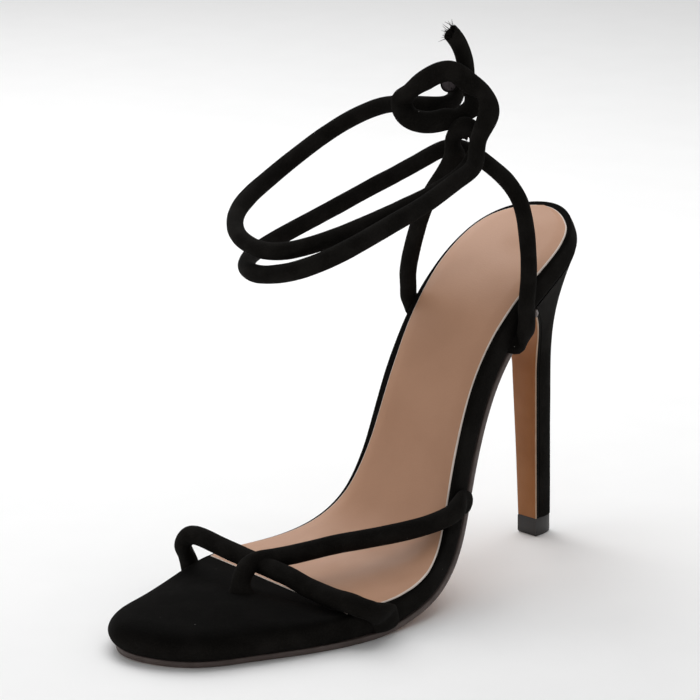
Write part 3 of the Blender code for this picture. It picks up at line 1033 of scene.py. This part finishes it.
# %% [markdown]
# The two ends of the tie are simply cut. On one the soft core shows as a grey disc. The other is cut at a
# slant and frayed: fibres of the core stand out of it. Each end is a few more rings with the core's
# material, and the fibres are thin tapered spikes. A hair system would also give fibres, but the exported
# model would lose it.


# %% Cut ends and fibres
SKIN_THICKNESS = 0.55
LIP_SCALE = 0.97
LIP_OUT = 0.25
INNER_OUT = 0.1
CORE_SCALE = 0.98
DOME_SCALE = 0.45
DOME_HEIGHT = 0.25
FIBRE_SIDES = 3
FIBRE_BEND = 0.5
FIBRE_SIDEWAYS = (0.31, 0.74, 0.6)
# Columns: share of the length, share of the thickness
FIBRE_TAPER = np.array([(0.0, 1.0), (0.35, 0.85), (0.7, 0.6), (1.0, 0.2)])


def cut_end(skin, path, sink, ragged, slant, seed):
    """Return rings that turn in over the end of a cord: its skin's edge, and the core a little deeper."""
    outward = unit(path[-1] - path[-2])
    centre = skin[-1].mean(axis=0)
    spokes = skin[-1] - centre
    wall = SKIN_THICKNESS / np.linalg.norm(spokes, axis=1).mean()
    draws = np.random.default_rng(seed)
    cut = (spokes @ np.array(slant))[:, None] * outward
    edge = cut + ragged * draws.uniform(-1, 1, len(spokes))[:, None] * outward
    lip = centre + spokes * LIP_SCALE + LIP_OUT * outward + edge
    inner = centre + spokes * (1 - wall) + INNER_OUT * outward + edge
    core = centre + spokes * (CORE_SCALE - wall) - sink * outward + cut
    dome = centre + spokes * DOME_SCALE - (sink - DOME_HEIGHT) * outward + cut / 2
    return np.stack([lip, inner, core, dome])


def fibre_mesh(name, roots, directions, lengths, thickness, seed):
    """Make thin fibres that start at roots, bend a little and taper to their tips."""
    draws = np.random.default_rng(seed)
    bends = FIBRE_BEND * draws.normal(size=(len(roots), 3))
    angle = np.linspace(0, 2 * pi, FIBRE_SIDES, endpoint=False)
    points = []
    faces = []
    for root, way, length, bend in zip(roots, unit(directions), lengths, bends):
        side = unit(np.cross(way, FIBRE_SIDEWAYS))
        other = np.cross(way, side)
        start = len(points)
        for share, taper in FIBRE_TAPER:
            centre = root + length * (share * way + share**2 * bend)
            reach = thickness / 2 * taper
            points.extend(centre + reach * (np.cos(a) * side + np.sin(a) * other) for a in angle)
        for level in range(start, len(points) - FIBRE_SIDES, FIBRE_SIDES):
            for j in range(FIBRE_SIDES):
                k = (j + 1) % FIBRE_SIDES
                faces.append((level + j, level + k, level + FIBRE_SIDES + k, level + FIBRE_SIDES + j))
        faces.append(tuple(range(start + FIBRE_SIDES - 1, start - 1, -1)))
        faces.append(tuple(range(len(points) - FIBRE_SIDES, len(points))))
    mesh = bpy.data.meshes.new(name)
    mesh.from_pydata(placed(points).tolist(), [], faces)
    mesh.shade_smooth()
    return mesh


# %% Fibres at a frayed end
FRAY_THICKNESS = 0.45
FRAY_SEED = 40
FRAY_ROOTS = (0.2, 0.95)
FRAY_SPREAD = (0.1, 0.8)
FRAY_LENGTHS = (0.3, 1.0)
FRAY_ROOT_DEPTH = 0.3
FRAY_OUTWARD = 0.5


def frayed_end(name, rim, path, count, longest, lean, seed):
    """Make the fibres that stand out of a cord's cut end and lean to one side."""
    draws = np.random.default_rng(seed + FRAY_SEED)
    outward = unit(path[-1] - path[-2])
    centre = rim.mean(axis=0)
    spokes = (rim - centre)[draws.integers(0, len(rim), count)]
    roots = centre + spokes * draws.uniform(*FRAY_ROOTS, count)[:, None] - FRAY_ROOT_DEPTH * outward
    spread = unit(spokes) * draws.uniform(*FRAY_SPREAD, count)[:, None]
    ways = FRAY_OUTWARD * outward + spread + np.array(lean)
    lengths = longest * draws.uniform(*FRAY_LENGTHS, count)
    mesh = fibre_mesh(name, roots, ways, lengths, FRAY_THICKNESS, seed)
    return add_piece(name, mesh, (strap_suede,))


# %% [markdown]
# A cord isn't equally thick all along: it swells where it is loose and is pressed where it is tied or
# glued. Two short tables for each cord say where. A swell is a share of the thickness at a row of the
# route. A press makes the cord thinner one way and wider the other between two rows, and may move it a
# little.


# %% Where the cords swell and are pressed
STILL = (0.0, 0.0, 0.0)
# Columns: row, share of the thickness
LATERAL_SWELLS = (
    (0, 1.0),
    (9, 1.0),
    (12, 1.03),
    (15, 1.05),
    (17, 1.02),
    (19, 1.1),
    (20, 1.14),
    (22, 1.1),
    (24, 1.03),
    (40, 1.03),
)
MEDIAL_SWELLS = (
    (0, 1.0),
    (3, 1.06),
    (7, 1.06),
    (9, 1.0),
    (18, 1.02),
    (21, 1.06),
    (23, 1.02),
    (24, 1.12),
    (26, 1.03),
)
# Columns: first row, last row, spread along, thin, wide, moved by
LATERAL_PRESSES = (
    (0, 1, edge_way(LATERAL_EDGE, 56.0), 0.8, 1.5, STILL),
    (0, 3, edge_way(LATERAL_EDGE, 56.0), 0.9, 1.25, STILL),
    (27, 27, FACING, 0.9, 1.25, STILL),
    (29, 31, FACING, 0.85, 1.25, -0.7 * UP_AXIS + 0.3 * ACROSS_AXIS),
    (33, 36, FACING, 0.9, 1.32, 0.8 * UP_AXIS),
    (38, 39, FACING, 0.9, 1.2, 1.1 * ACROSS_AXIS),
)
MEDIAL_PRESSES = (
    (0, 2, edge_way(MEDIAL_EDGE, 57.0), 0.65, 1.5, STILL),
    (9, 9.5, FACING, 0.9, 1.4, 1.2 * ACROSS_AXIS),
    (12, 12, FACING, 0.9, 1.5, -0.4 * UP_AXIS),
    (29, 31, FACING, 0.9, 1.12, STILL),
)
print("presses on the two cords:", len(LATERAL_PRESSES), len(MEDIAL_PRESSES))


# %% The two cords of the tie
def tie_cord(name, node, route, swells, presses, end, frays, core, seed):
    """Make one cord of the ankle tie, with fibres at its cut end."""
    path, skin = cord_rings(route, TIE_CORD, swells, presses, seed)
    end_rings = cut_end(skin, path, seed=seed, **end)
    mesh = tube_mesh(name, np.concatenate([skin, end_rings[:2]]), end_rings[2:])
    cord = dress(node, name, mesh, (strap_suede, core))
    fibres = frayed_end(name + "_frays", end_rings[1], path, seed=seed, **frays)


tie_cord(
    "lateral_tie_cord",
    "ankle_tie_lateral",
    LATERAL_ROUTE,
    LATERAL_SWELLS,
    LATERAL_PRESSES,
    end={"sink": 0.3, "ragged": 0.4, "slant": 0.5 * ACROSS_AXIS},
    frays={"count": 90, "longest": 2.3, "lean": -0.5 * ACROSS_AXIS},
    core=strap_suede,
    seed=2,
)
tie_cord(
    "medial_tie_cord",
    "ankle_tie_medial",
    MEDIAL_ROUTE,
    MEDIAL_SWELLS,
    MEDIAL_PRESSES,
    end={"sink": 0.15, "ragged": 0.08, "slant": STILL},
    frays={"count": 10, "longest": 0.7, "lean": STILL},
    core=cord_core,
    seed=5,
)


# %% [markdown]
# ## The toe straps
#
# The same cord, a little thicker, crosses the toes twice: one strap from side to side, and one from a
# post between the toes over the first strap to the outer waist. They are sewn together where they cross,
# so a Boolean union makes them one skin there.


# %% Routes of the toe straps
TOE_CORD = 6.5
# Columns: x, y, z of the drawing
TOE_STRAP = (
    (-40.9, -47.4, 13.4),
    (-37.8, -51.4, 18.6),
    (-33.6, -52.1, 22.8),
    (-28.2, -51.6, 23.6),
    (-21.0, -51.0, 22.6),
    (-12.4, -50.3, 21.4),
    (-3.0, -49.4, 20.2),
    (9.6, -47.8, 18.4),
    (20.0, -46.2, 16.8),
    (30.5, -44.6, 15.4),
    (38.6, -43.3, 14.9),
    (42.5, -39.8, 11.9),
)
POST_STRAP = (
    (-0.1, -59.0, 6.0),
    (-0.1, -59.0, 10.4),
    (-0.6, -58.6, 14.0),
    (-1.8, -56.4, 17.8),
    (-2.2, -51.4, 20.7),
    (0.6, -45.8, 21.5),
    (5.0, -37.0, 22.3),
    (9.7, -27.6, 23.7),
    (14.8, -18.2, 24.7),
    (21.1, -9.7, 26.2),
    (27.6, -1.7, 28.4),
    (32.0, 3.7, 30.9),
    (33.0, 8.2, 32.7),
)
toe_inner_end = strap_foot(MEDIAL_EDGE, (182.0, 182.0, 183.5), tuck=0.7)
toe_outer_end = strap_foot(LATERAL_EDGE, (170.5, 170.5, 171.5), tuck=1.7)[::-1]
post_end = strap_foot(LATERAL_EDGE, (118.0, 118.0, 118.5), tuck=0.9, drop=-0.4)[::-1]
toe_route = np.concatenate([toe_inner_end, TOE_STRAP, toe_outer_end])
post_route = np.concatenate([POST_STRAP, post_end])
print("rows of the toe straps:", len(toe_route), len(post_route))


# %% Where the toe straps swell and are pressed
FORWARD = (0.0, -1.0, 0.0)
# Columns: row, share of the thickness
TOE_SWELLS = (
    (0, 1.0),
    (2, 1.0),
    (3, 0.9),
    (4, 0.9),
    (5, 1.0),
    (10, 1.0),
    (12, 1.08),
    (14, 1.05),
)
POST_SWELLS = (
    (0, 2.0),
    (1.0, 1.6),
    (1.6, 1.25),
    (2.4, 1.0),
    (15, 1.0),
)
# Columns: first row, last row, spread along, thin, wide, moved by
TOE_PRESSES = (
    (0, 2, FORWARD, 0.62, 1.2, STILL),
    (11, 13, FORWARD, 1.0, 1.0, -1.1 * UP_AXIS),
    (15, 17, FORWARD, 0.5, 1.6, 0.7 * UP_AXIS),
)
POST_PRESSES = (
    (0, 1, ACROSS_AXIS, 0.8, 1.35, STILL),
    (13, 15, edge_way(LATERAL_EDGE, 118.0), 0.65, 1.2, STILL),
)
toe_path, toe_skin = cord_rings(toe_route, TOE_CORD, TOE_SWELLS, TOE_PRESSES, seed=8)
post_path, post_skin = cord_rings(post_route, TOE_CORD, POST_SWELLS, POST_PRESSES, seed=9)
print("toe straps, mm:", round(arc_lengths(toe_path)[-1], 1), round(arc_lengths(post_path)[-1], 1))


# %% Toe strap and post strap
toe_mesh = tube_mesh("toe_straps_suede", toe_skin)
toe_straps = add_piece("toe_straps_suede", toe_mesh, (strap_suede,))
post_mesh = tube_mesh("post_strap", post_skin)
post_mesh.materials.append(strap_suede)
post = bpy.data.objects.new("post_strap", post_mesh)
bpy.context.scene.collection.objects.link(post)


def apply_modifiers(piece):
    """Turn what a piece's modifiers make into its own mesh."""
    bpy.context.view_layer.update()
    seen = piece.evaluated_get(bpy.context.evaluated_depsgraph_get())
    mesh = bpy.data.meshes.new_from_object(seen)
    piece.modifiers.clear()
    piece.data = mesh


sewn = toe_straps.modifiers.new("sewn", "BOOLEAN")
sewn.operation = "UNION"
sewn.object = post
apply_modifiers(toe_straps)
bpy.data.objects.remove(post)
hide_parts("toe_straps")
print("toe_straps_suede faces:", len(toe_straps.data.polygons))


# %% [markdown]
# ## The footbed
#
# The footbed is a stiff board, bent to the last, with foam on it and suede pulled round its rim. It and
# all pieces that follow the last are lofts: rings of points, one above the other, joined by faces, with a
# grid across the first and the last ring. The grid could be one large face, but a grid can be crowned or
# hollowed.


# %% Rings as loops and grids
ACROSS_STEPS = 24
INNER_STEPS = ACROSS_STEPS - 1


def across_grid(ring, lift):
    """Return a grid of points between the two halves of a ring, moved by lift (stations, columns, xyz)."""
    lateral, medial = ring
    share = np.linspace(0, 1, ACROSS_STEPS + 1)[None, :, None]
    grid = lateral[:, None, :] * (1 - share) + medial[:, None, :] * share
    return grid if lift is None else grid + lift


def ring_loop(build, ring):
    """Add the points of a ring in one round: lateral half, toe end, medial half back, heel end."""
    lateral, medial = ring
    ends = across_grid(ring, None)
    far = ends[-1, 1:-1]
    near = ends[0, 1:-1][::-1]
    points = np.concatenate([lateral, far, medial[::-1], near])
    return [build.verts.new(point) for point in placed(points)]


def close_ring(build, loop, ring, lift, index):
    """Close a ring's loop of points with a grid of faces across it, moved by lift."""
    count = len(ring[0])
    points = placed(across_grid(ring, lift))
    rows = []
    for k in range(count):
        lateral = loop[k]
        medial = loop[2 * count + INNER_STEPS - 1 - k]
        if k == 0:
            between = loop[2 * count + INNER_STEPS :][::-1]
        elif k == count - 1:
            between = loop[count : count + INNER_STEPS]
        else:
            between = [build.verts.new(point) for point in points[k, 1:-1]]
        rows.append([lateral, *between, medial])
    for row, next_row in zip(rows, rows[1:]):
        for c in range(ACROSS_STEPS):
            face = build.faces.new((row[c], row[c + 1], next_row[c + 1], next_row[c]))
            face.material_index = index


# %% A loft with crowned ends
MERGE_DISTANCE = 0.01 * MM
SLIVER_WIDTH = 0.004 * MM
LOFT_SHARP_ANGLE = radians(45)


def loft(name, rings, lift_first=None, lift_last=None, wall_index=None, first_index=0):
    """Make a closed mesh from rings; wall_index gives the material of each level of wall at each station."""
    build = bmesh.new()
    loops = [ring_loop(build, ring) for ring in rings]
    size = len(loops[0])
    count = len(rings[0][0])
    for level, (low, high) in enumerate(zip(loops, loops[1:])):
        for i in range(size):
            j = (i + 1) % size
            face = build.faces.new((low[i], low[j], high[j], high[i]))
            station = min(i, 2 * count + INNER_STEPS - 1 - i)
            face.material_index = wall_index(level, station) if wall_index else 0
    close_ring(build, loops[0], rings[0], lift_first, first_index)
    close_ring(build, loops[-1], rings[-1], lift_last, 0)
    bmesh.ops.remove_doubles(build, verts=build.verts, dist=MERGE_DISTANCE)
    bmesh.ops.dissolve_degenerate(build, edges=build.edges, dist=SLIVER_WIDTH)
    bmesh.ops.recalc_face_normals(build, faces=build.faces)
    mesh = bpy.data.meshes.new(name)
    build.to_mesh(mesh)
    build.free()
    mesh.shade_smooth()
    mesh.set_sharp_from_angle(angle=LOFT_SHARP_ANGLE)
    return mesh


# %% [markdown]
# Hand-pulled suede and leather are never quite even. A smooth noise moves each point of a mesh a little
# along its normal, so that the light wanders over the piece. A Displace modifier with a texture would do
# the same, but this way the noise is measured in millimetres.


# %% Ripples
def ripple(mesh, size, height, seed):
    """Move a mesh's points along their normals by a smooth noise, both in millimetres."""
    flat = np.zeros(len(mesh.vertices) * 3)
    mesh.vertices.foreach_get("co", flat)
    points = flat.reshape(-1, 3)
    normals = np.zeros(len(points) * 3)
    mesh.vertex_normals.foreach_get("vector", normals)
    moved = points + height * MM * lumps(points / MM, size, seed)[:, None] * normals.reshape(-1, 3)
    mesh.vertices.foreach_set("co", moved.ravel())
    mesh.update()


# %% [markdown]
# The suede is pulled over a soft rim, so the wall is rounded at the top and tucked under at the bottom.
# Towards the toe the rounding gets much larger, until top and wall are one dome. Before the sock the toe
# is padded too: the grid across the top is raised a little in its middle.


# %% The suede-covered footbed
EDGE_SAMPLES = 150
# Columns: inset, depth, toe_inset, toe_depth
RIM = (
    (1.6, 0.0, 9.0, -1.5),
    (0.8, 0.15, 5.0, -0.9),
    (0.25, 0.7, 1.7, 0.5),
    (0.0, 2.0, 0.0, 2.6),
    (0.0, 5.9, -0.4, 5.0),
    (0.6, 7.6, 0.7, 7.2),
    (1.8, 8.4, 2.6, 8.4),
)
RIM_PER_SPAN = 4
TOE_CROWN = 1.8
CROWN_FROM = 190.0
CROWN_RISE = 18.0
CROWN_FALL = 34.0


def upward(along):
    """Return the direction square to the footbed's top at values of along."""
    slope = np.interp(along, PROFILE[0], PROFILE[3])
    return np.column_stack([np.zeros_like(slope), -np.sin(slope), np.cos(slope)])


def bulge(along, heights):
    """Return a lift of the grid by heights (stations, columns), square to the footbed's top."""
    return heights[:, :, None] * upward(along)[:, None, :]


across_share = np.linspace(-1, 1, ACROSS_STEPS + 1)
footbed_along = stations(0.0, TOE_END, EDGE_SAMPLES)
crown_rise = ease((footbed_along - CROWN_FROM) / CROWN_RISE)
crown_fall = ease((TOE_END - footbed_along) / CROWN_FALL)
toe_padding = crown_rise * crown_fall
toe_lift = bulge(footbed_along, TOE_CROWN * toe_padding[:, None] * (1 - across_share**2)[None, :])
rim_rings = [
    footbed_ring(inset, depth, footbed_along, toe=toe)
    for inset, depth, *toe in smooth_curve(RIM, RIM_PER_SPAN)
]
footbed_mesh = loft("footbed_suede", rim_rings, lift_first=toe_lift)
ripple(footbed_mesh, size=16.0, height=0.16, seed=4)
dress("footbed", "footbed_suede", footbed_mesh, (footbed_suede,))


# %% [markdown]
# The sock is the tan leather that the foot stands on. It is glued to the padded board, so its cut edge is
# drawn down and its middle stands a little higher. The front edge is cut straight, at a slant. The sides
# follow the footbed, but a sock is trimmed by hand, so two short tables move each edge by a millimetre
# here and there.


# %% Outline of the sock
SOCK_INSET = 2.0
SOCK_FRONT_LATERAL = 185.0
SOCK_FRONT_MEDIAL = 177.4
SOCK_SLANT_FROM = 150.0
SOCK_SEAT = 0.1
SOCK_FRONT_DROP = 0.3
SOCK_FRONT_TAPER = 7.0
SOCK_HEEL_TRIM = 1.5
SOCK_HEEL_REACH = 22.0
LATERAL_WAY = np.array([1.0, 0.0, 0.0])
# Columns: along, how far the edge is moved to the lateral side
SOCK_LATERAL_TRIM = (
    (0, 0.5),
    (8, 1.3),
    (16, 0.8),
    (30, 0.5),
    (60, -0.3),
    (90, 0.1),
    (118, 0.4),
    (131, 0.2),
    (148, 1.2),
    (156, 1.2),
    (164, 0.6),
    (171, -0.6),
)
SOCK_MEDIAL_TRIM = (
    (0, 0.0),
    (12, 0.2),
    (40, 0.4),
    (55, 1.2),
    (75, 1.9),
    (105, 1.5),
    (120, 0.6),
    (135, 0.0),
)
# Columns: inset, depth
SOCK_EDGE = ((0.35, -0.50), (0.12, -0.42), (0.0, -0.25), (0.0, SOCK_SEAT))


def trimmed(along, table):
    """Return how an edge of the sock is moved at values of along."""
    return np.interp(along, *np.transpose(table))[:, None] * LATERAL_WAY


sock_middle = (SOCK_FRONT_LATERAL + SOCK_FRONT_MEDIAL) / 2
sock_along = stations(0.0, sock_middle, EDGE_SAMPLES)
slant = np.clip((sock_along - SOCK_SLANT_FROM) / (sock_middle - SOCK_SLANT_FROM), 0, 1) ** 2
sock_lateral = sock_along + (SOCK_FRONT_LATERAL - sock_middle) * slant
sock_medial = sock_along + (SOCK_FRONT_MEDIAL - sock_middle) * slant
from_front = sock_along[-1] - sock_along
front_drop = SOCK_FRONT_DROP * (1 - ease(from_front / SOCK_FRONT_TAPER))[:, None] * upward(sock_along)
downhill = np.cross(LATERAL_WAY, upward(sock_along))
heel_trim = SOCK_HEEL_TRIM * (1 - ease(sock_along / SOCK_HEEL_REACH))[:, None] * downhill
moved = heel_trim - front_drop
lateral_trim = trimmed(sock_lateral, SOCK_LATERAL_TRIM)
medial_trim = trimmed(sock_medial, SOCK_MEDIAL_TRIM)
sock_rings = []
for inset, depth in SOCK_EDGE:
    lateral, medial = footbed_ring(SOCK_INSET + inset, depth, sock_lateral, sock_medial)
    sock_rings.append([lateral + lateral_trim + moved, medial + medial_trim + moved])
print("sock along its middle, mm:", round(sock_middle, 1))


# %% [markdown]
# The leather is thin and soft, so it swells from its edge to a low pillow, which a lift of the grid
# gives. The cut edge is coloured much paler than the top, so the wall of the loft has a material of its
# own.


# %% The sock leather
SOCK_PILLOW = 0.75
PILLOW_WIDTH = 4.0

half_width = np.abs(sock_rings[0][0][:, 0] - sock_rings[0][1][:, 0]) / 2
from_side = (1 - np.abs(across_share))[None, :] * half_width[:, None]
from_edge = np.minimum(from_side, from_front[:, None])
pillow = bulge(sock_along, SOCK_PILLOW * ease(from_edge / PILLOW_WIDTH))
sock_mesh = loft("sock_leather", sock_rings, lift_first=pillow, wall_index=lambda level, station: 1)
ripple(sock_mesh, size=22.0, height=0.10, seed=6)
dress("sock", "sock_leather", sock_mesh, (sock_leather, sock_edge))


# %% [markdown]
# ## Heel and sole
#
# The stiletto is a slim stem, flat in front and round behind, which flares into a seat under the footbed.
# Its level sections come from a short table, and the flare blends the last section into the outline of
# the seat. A turned form would be quicker, but it would be round in front too, where the sole's flap lies
# flat against the heel.


# %% The heel
# Columns: height, front, back, half_width
HEEL = (
    (6.8, 79.4, HEEL_BACK + 0.4, 4.5),
    (32.0, 78.7, 86.8, 5.0),
    (60.0, 77.8, 86.5, 5.8),
)
HEEL_SEAT_FRONT = 42.0
HEEL_SEAT_INSET = 1.0
HEEL_FLARE_ACROSS = 2.2
HEEL_FLARE_FORE_AFT = 2.7
HEEL_FLARE_RINGS = 36
HEEL_STEM_RINGS = 12
HEEL_SAMPLES = 28
HEEL_SIDE_POWER = 0.6
HEEL_BACK_POWER = 0.9
SEAT_CLOSE = 0.25


def heel_section(height, front, back, half_width):
    """Return a level section of the heel as lateral and medial halves, from its front to its back."""
    turn = np.linspace(0, pi / 2, HEEL_SAMPLES + 1)
    across = half_width * np.cos(turn) ** HEEL_SIDE_POWER
    across[-1] = 0.0
    depth = front + (back - front) * np.sin(turn) ** HEEL_BACK_POWER
    level = np.full_like(turn, height)
    return [np.column_stack([across, depth, level]), np.column_stack([-across, depth, level])]


def heel_rings():
    """Return the heel's rings from its foot, up the stem and out to the seat."""
    rows = np.array(HEEL)
    heights = np.linspace(rows[0, 0], rows[-1, 0], HEEL_STEM_RINGS)
    sections = np.column_stack([heights, *(np.interp(heights, rows[:, 0], rows[:, k]) for k in (1, 2, 3))])
    rings = [heel_section(*row) for row in sections]
    along = stations(0.0, HEEL_SEAT_FRONT, HEEL_SAMPLES)
    seat_ring = footbed_ring(HEEL_SEAT_INSET, FOOTBED_THICKNESS + GAP - SEAT_CLOSE, along)
    seat = [half[::-1] for half in seat_ring]
    stem = rings[-1]
    for i in range(1, HEEL_FLARE_RINGS + 1):
        rise = i / HEEL_FLARE_RINGS
        spread = np.array([rise**HEEL_FLARE_ACROSS, rise**HEEL_FLARE_FORE_AFT, rise])
        rings.append([low + (high - low) * spread for low, high in zip(stem, seat)])
    return rings


heel_mesh = loft("heel_suede", heel_rings())
ripple(heel_mesh, size=14.0, height=0.10, seed=7)
dress("heel", "heel_suede", heel_mesh, (heel_suede,))


# %% [markdown]
# The top piece is the little block of hard rubber that the heel stands on. It has the heel's section, a
# small chamfer round its foot, and it reaches under the flap of the sole. It could be cut off the heel's
# mesh, but it is a block of its own with crisp edges, so it gets a short loft of its own.


# %% The top piece
TIP_HEIGHT = 6.5
# Columns: height, trim
TIP_ROWS = (
    (0.0, 0.5),
    (0.12, 0.3),
    (0.5, 0.05),
    (1.0, 0.0),
    (TIP_HEIGHT - 0.35, 0.0),
    (TIP_HEIGHT + SEAT_CLOSE, 0.25),
)
heel_front, tip_back, tip_half_width = HEEL[0][1:]
tip_front = heel_front - OUTSOLE_THICKNESS - GAP
tip_rings = [
    heel_section(height, tip_front + trim, tip_back - trim, tip_half_width - trim)
    for height, trim in TIP_ROWS
]
tip_mesh = loft("top_piece", tip_rings)
dress("heel_tip", "top_piece", tip_mesh, (top_piece_rubber,))


# %% [markdown]
# The sole is one thin piece of leather. It lies under the footbed from the toe to the heel and then turns
# down the front of the heel as a flap, the breast. Its underside is caramel, and its edge is dyed darker.
# Two pieces would be simpler, but the real leather runs on without a seam, so each ring follows the
# footbed and then the heel in one outline.


# %% Outline of the sole
OUTSOLE_INSET = 0.5
OUTSOLE_TOE_INSET = 2.2
TURN_LENGTH = 2.0
# Columns: inset, how deep in the sole
SOLE_EDGE = (
    (0.25, -0.2),
    (0.05, 0.0),
    (0.0, 0.3),
    (0.0, 1.4),
    (0.1, 1.68),
    (0.35, OUTSOLE_THICKNESS),
)


def offset_path(path, distance):
    """Return a path in the YZ plane moved sideways by distance, square to its own run."""
    run = unit(np.diff(path[:, 1:], axis=0))
    side = np.column_stack([-run[:, 1], run[:, 0]])
    first = np.concatenate([side[:1], side])
    second = np.concatenate([side, side[-1:]])
    mitre = first + second
    mitre /= (1 + np.sum(first * second, axis=1))[:, None]
    moved = path.copy()
    moved[:, 1:] += distance * mitre
    return moved


def sole_ring(inset, level):
    """Return the sole's outline at a level inside its thickness, from the toe to the foot of its flap."""
    along = stations(HEEL_SEAT_FRONT + TURN_LENGTH, TOE_END, EDGE_SAMPLES)[::-1]
    under = FOOTBED_THICKNESS + GAP
    tops, halves = (
        footbed_ring(OUTSOLE_INSET + inset, depth, along, toe=(OUTSOLE_TOE_INSET + inset, depth))
        for depth in (under, under + level)
    )
    heel_down = heel_rings()[::-1]
    ring = []
    for side, (top, half) in enumerate(zip(tops, halves)):
        corner = np.array([section[side][0] for section in heel_down])
        corner[:, 0] -= np.sign(corner[:, 0]) * inset
        turn = np.concatenate([top[-2:], offset_path(corner, -GAP)[1:]])
        ring.append(np.concatenate([half[:-1], offset_path(turn, -level)[1:]]))
    return ring


sole_rings = [sole_ring(inset, level) for inset, level in SOLE_EDGE]
print("stations along the sole:", len(sole_rings[0][0]))


# %% [markdown]
# The flap is pulled over the heel's front, so it is a little full in its middle. Round the foot the cut
# edge is dyed. Down the flap the heel's suede covers it, all but a thin bare line at the front.


# %% The leather sole
BREAST_FULLNESS = 0.45
FLAP_FROM = EDGE_SAMPLES + 4
BARE_LINE_FROM = 3
DYED_EDGE, COVERED_EDGE, BARE_LINE = 1, 2, 3


def sole_wall(level, station):
    """Return which finish the sole's edge has at a level of its wall and a station along it."""
    if station < FLAP_FROM:
        return DYED_EDGE
    return COVERED_EDGE if level < BARE_LINE_FROM else BARE_LINE


flap_share = np.zeros(len(sole_rings[0][0]))
flap_share[FLAP_FROM:] = 1.0
fullness = BREAST_FULLNESS * flap_share[:, None] * (1 - across_share**2)[None, :]
breast_lift = fullness[:, :, None] * np.array(FORWARD)
sole_mesh = loft(
    "leather_sole", sole_rings, lift_last=breast_lift, wall_index=sole_wall, first_index=DYED_EDGE
)
sole_finishes = (sole_leather, sole_edge, heel_suede, flap_edge)
dress("outsole", "leather_sole", sole_mesh, sole_finishes)


# %% [markdown]
# ## Floor and light
#
# A pale floor and three large soft lamps stand in for the studio. Small lamps would draw hard shadows and
# leave the suede flat. Large ones give the soft, low shine that lets black show its form.


# %% The floor
FLOOR_REACH = 6.0
FLOOR_PALE = (0.93, 0.93, 0.93)
FLOOR_DULL = (0.90, 0.90, 0.90)
FLOOR_ROUGHNESS = 0.9
MOTTLE_SIZE = 30.0
MOTTLE_DETAIL = 2.0

floor_paint, tree, shader = new_material("floor_paint")
mottle = speckle(tree, MOTTLE_SIZE, MOTTLE_DETAIL)
colour = mixed(tree, mottle, opaque(FLOOR_DULL), opaque(FLOOR_PALE))
tree.links.new(colour, shader.inputs["Base Color"])
shader.inputs["Roughness"].default_value = FLOOR_ROUGHNESS
floor_mesh = bpy.data.meshes.new("floor")
corners = [(x * FLOOR_REACH, y * FLOOR_REACH, 0.0) for x, y in ((-1, -1), (1, -1), (1, 1), (-1, 1))]
floor_mesh.from_pydata(corners, [], [(0, 1, 2, 3)])
floor_mesh.materials.append(floor_paint)
floor = bpy.data.objects.new("floor", floor_mesh)
bpy.context.scene.collection.objects.link(floor)
print("floor, m:", 2 * FLOOR_REACH)


# %% The lamps
SHOE_MIDDLE = (0.0, 0.0, 0.06)
SKY_STRENGTH = 0.45
# Columns: name, place in metres, size in metres, watts
LAMPS = (
    ("overhead", (-0.20, 0.22, 0.90), 0.9, 5.0),
    ("sheen", (-0.95, 0.30, 0.85), 0.8, 4.5),
    ("front", (-0.6, -1.1, 0.7), 0.8, 1.5),
)


def soft_lamp(name, place, size, watts):
    """Hang a square area lamp and turn it to the shoe."""
    lamp = bpy.data.lights.new(name, "AREA")
    lamp.size = size
    lamp.energy = watts
    hung = bpy.data.objects.new(name, lamp)
    hung.location = place
    toward_shoe = Vector(SHOE_MIDDLE) - Vector(place)
    hung.rotation_euler = toward_shoe.to_track_quat("-Z", "Y").to_euler()
    bpy.context.scene.collection.objects.link(hung)


for lamp_row in LAMPS:
    soft_lamp(*lamp_row)
world = bpy.data.worlds.new("studio")
world.use_nodes = True
sky = world.node_tree.nodes["Background"]
sky.inputs["Color"].default_value = (1.0, 1.0, 1.0, 1.0)
sky.inputs["Strength"].default_value = SKY_STRENGTH
bpy.context.scene.world = world
bpy.context.scene.view_settings.view_transform = "Standard"
print("lamps:", [row[0] for row in LAMPS])
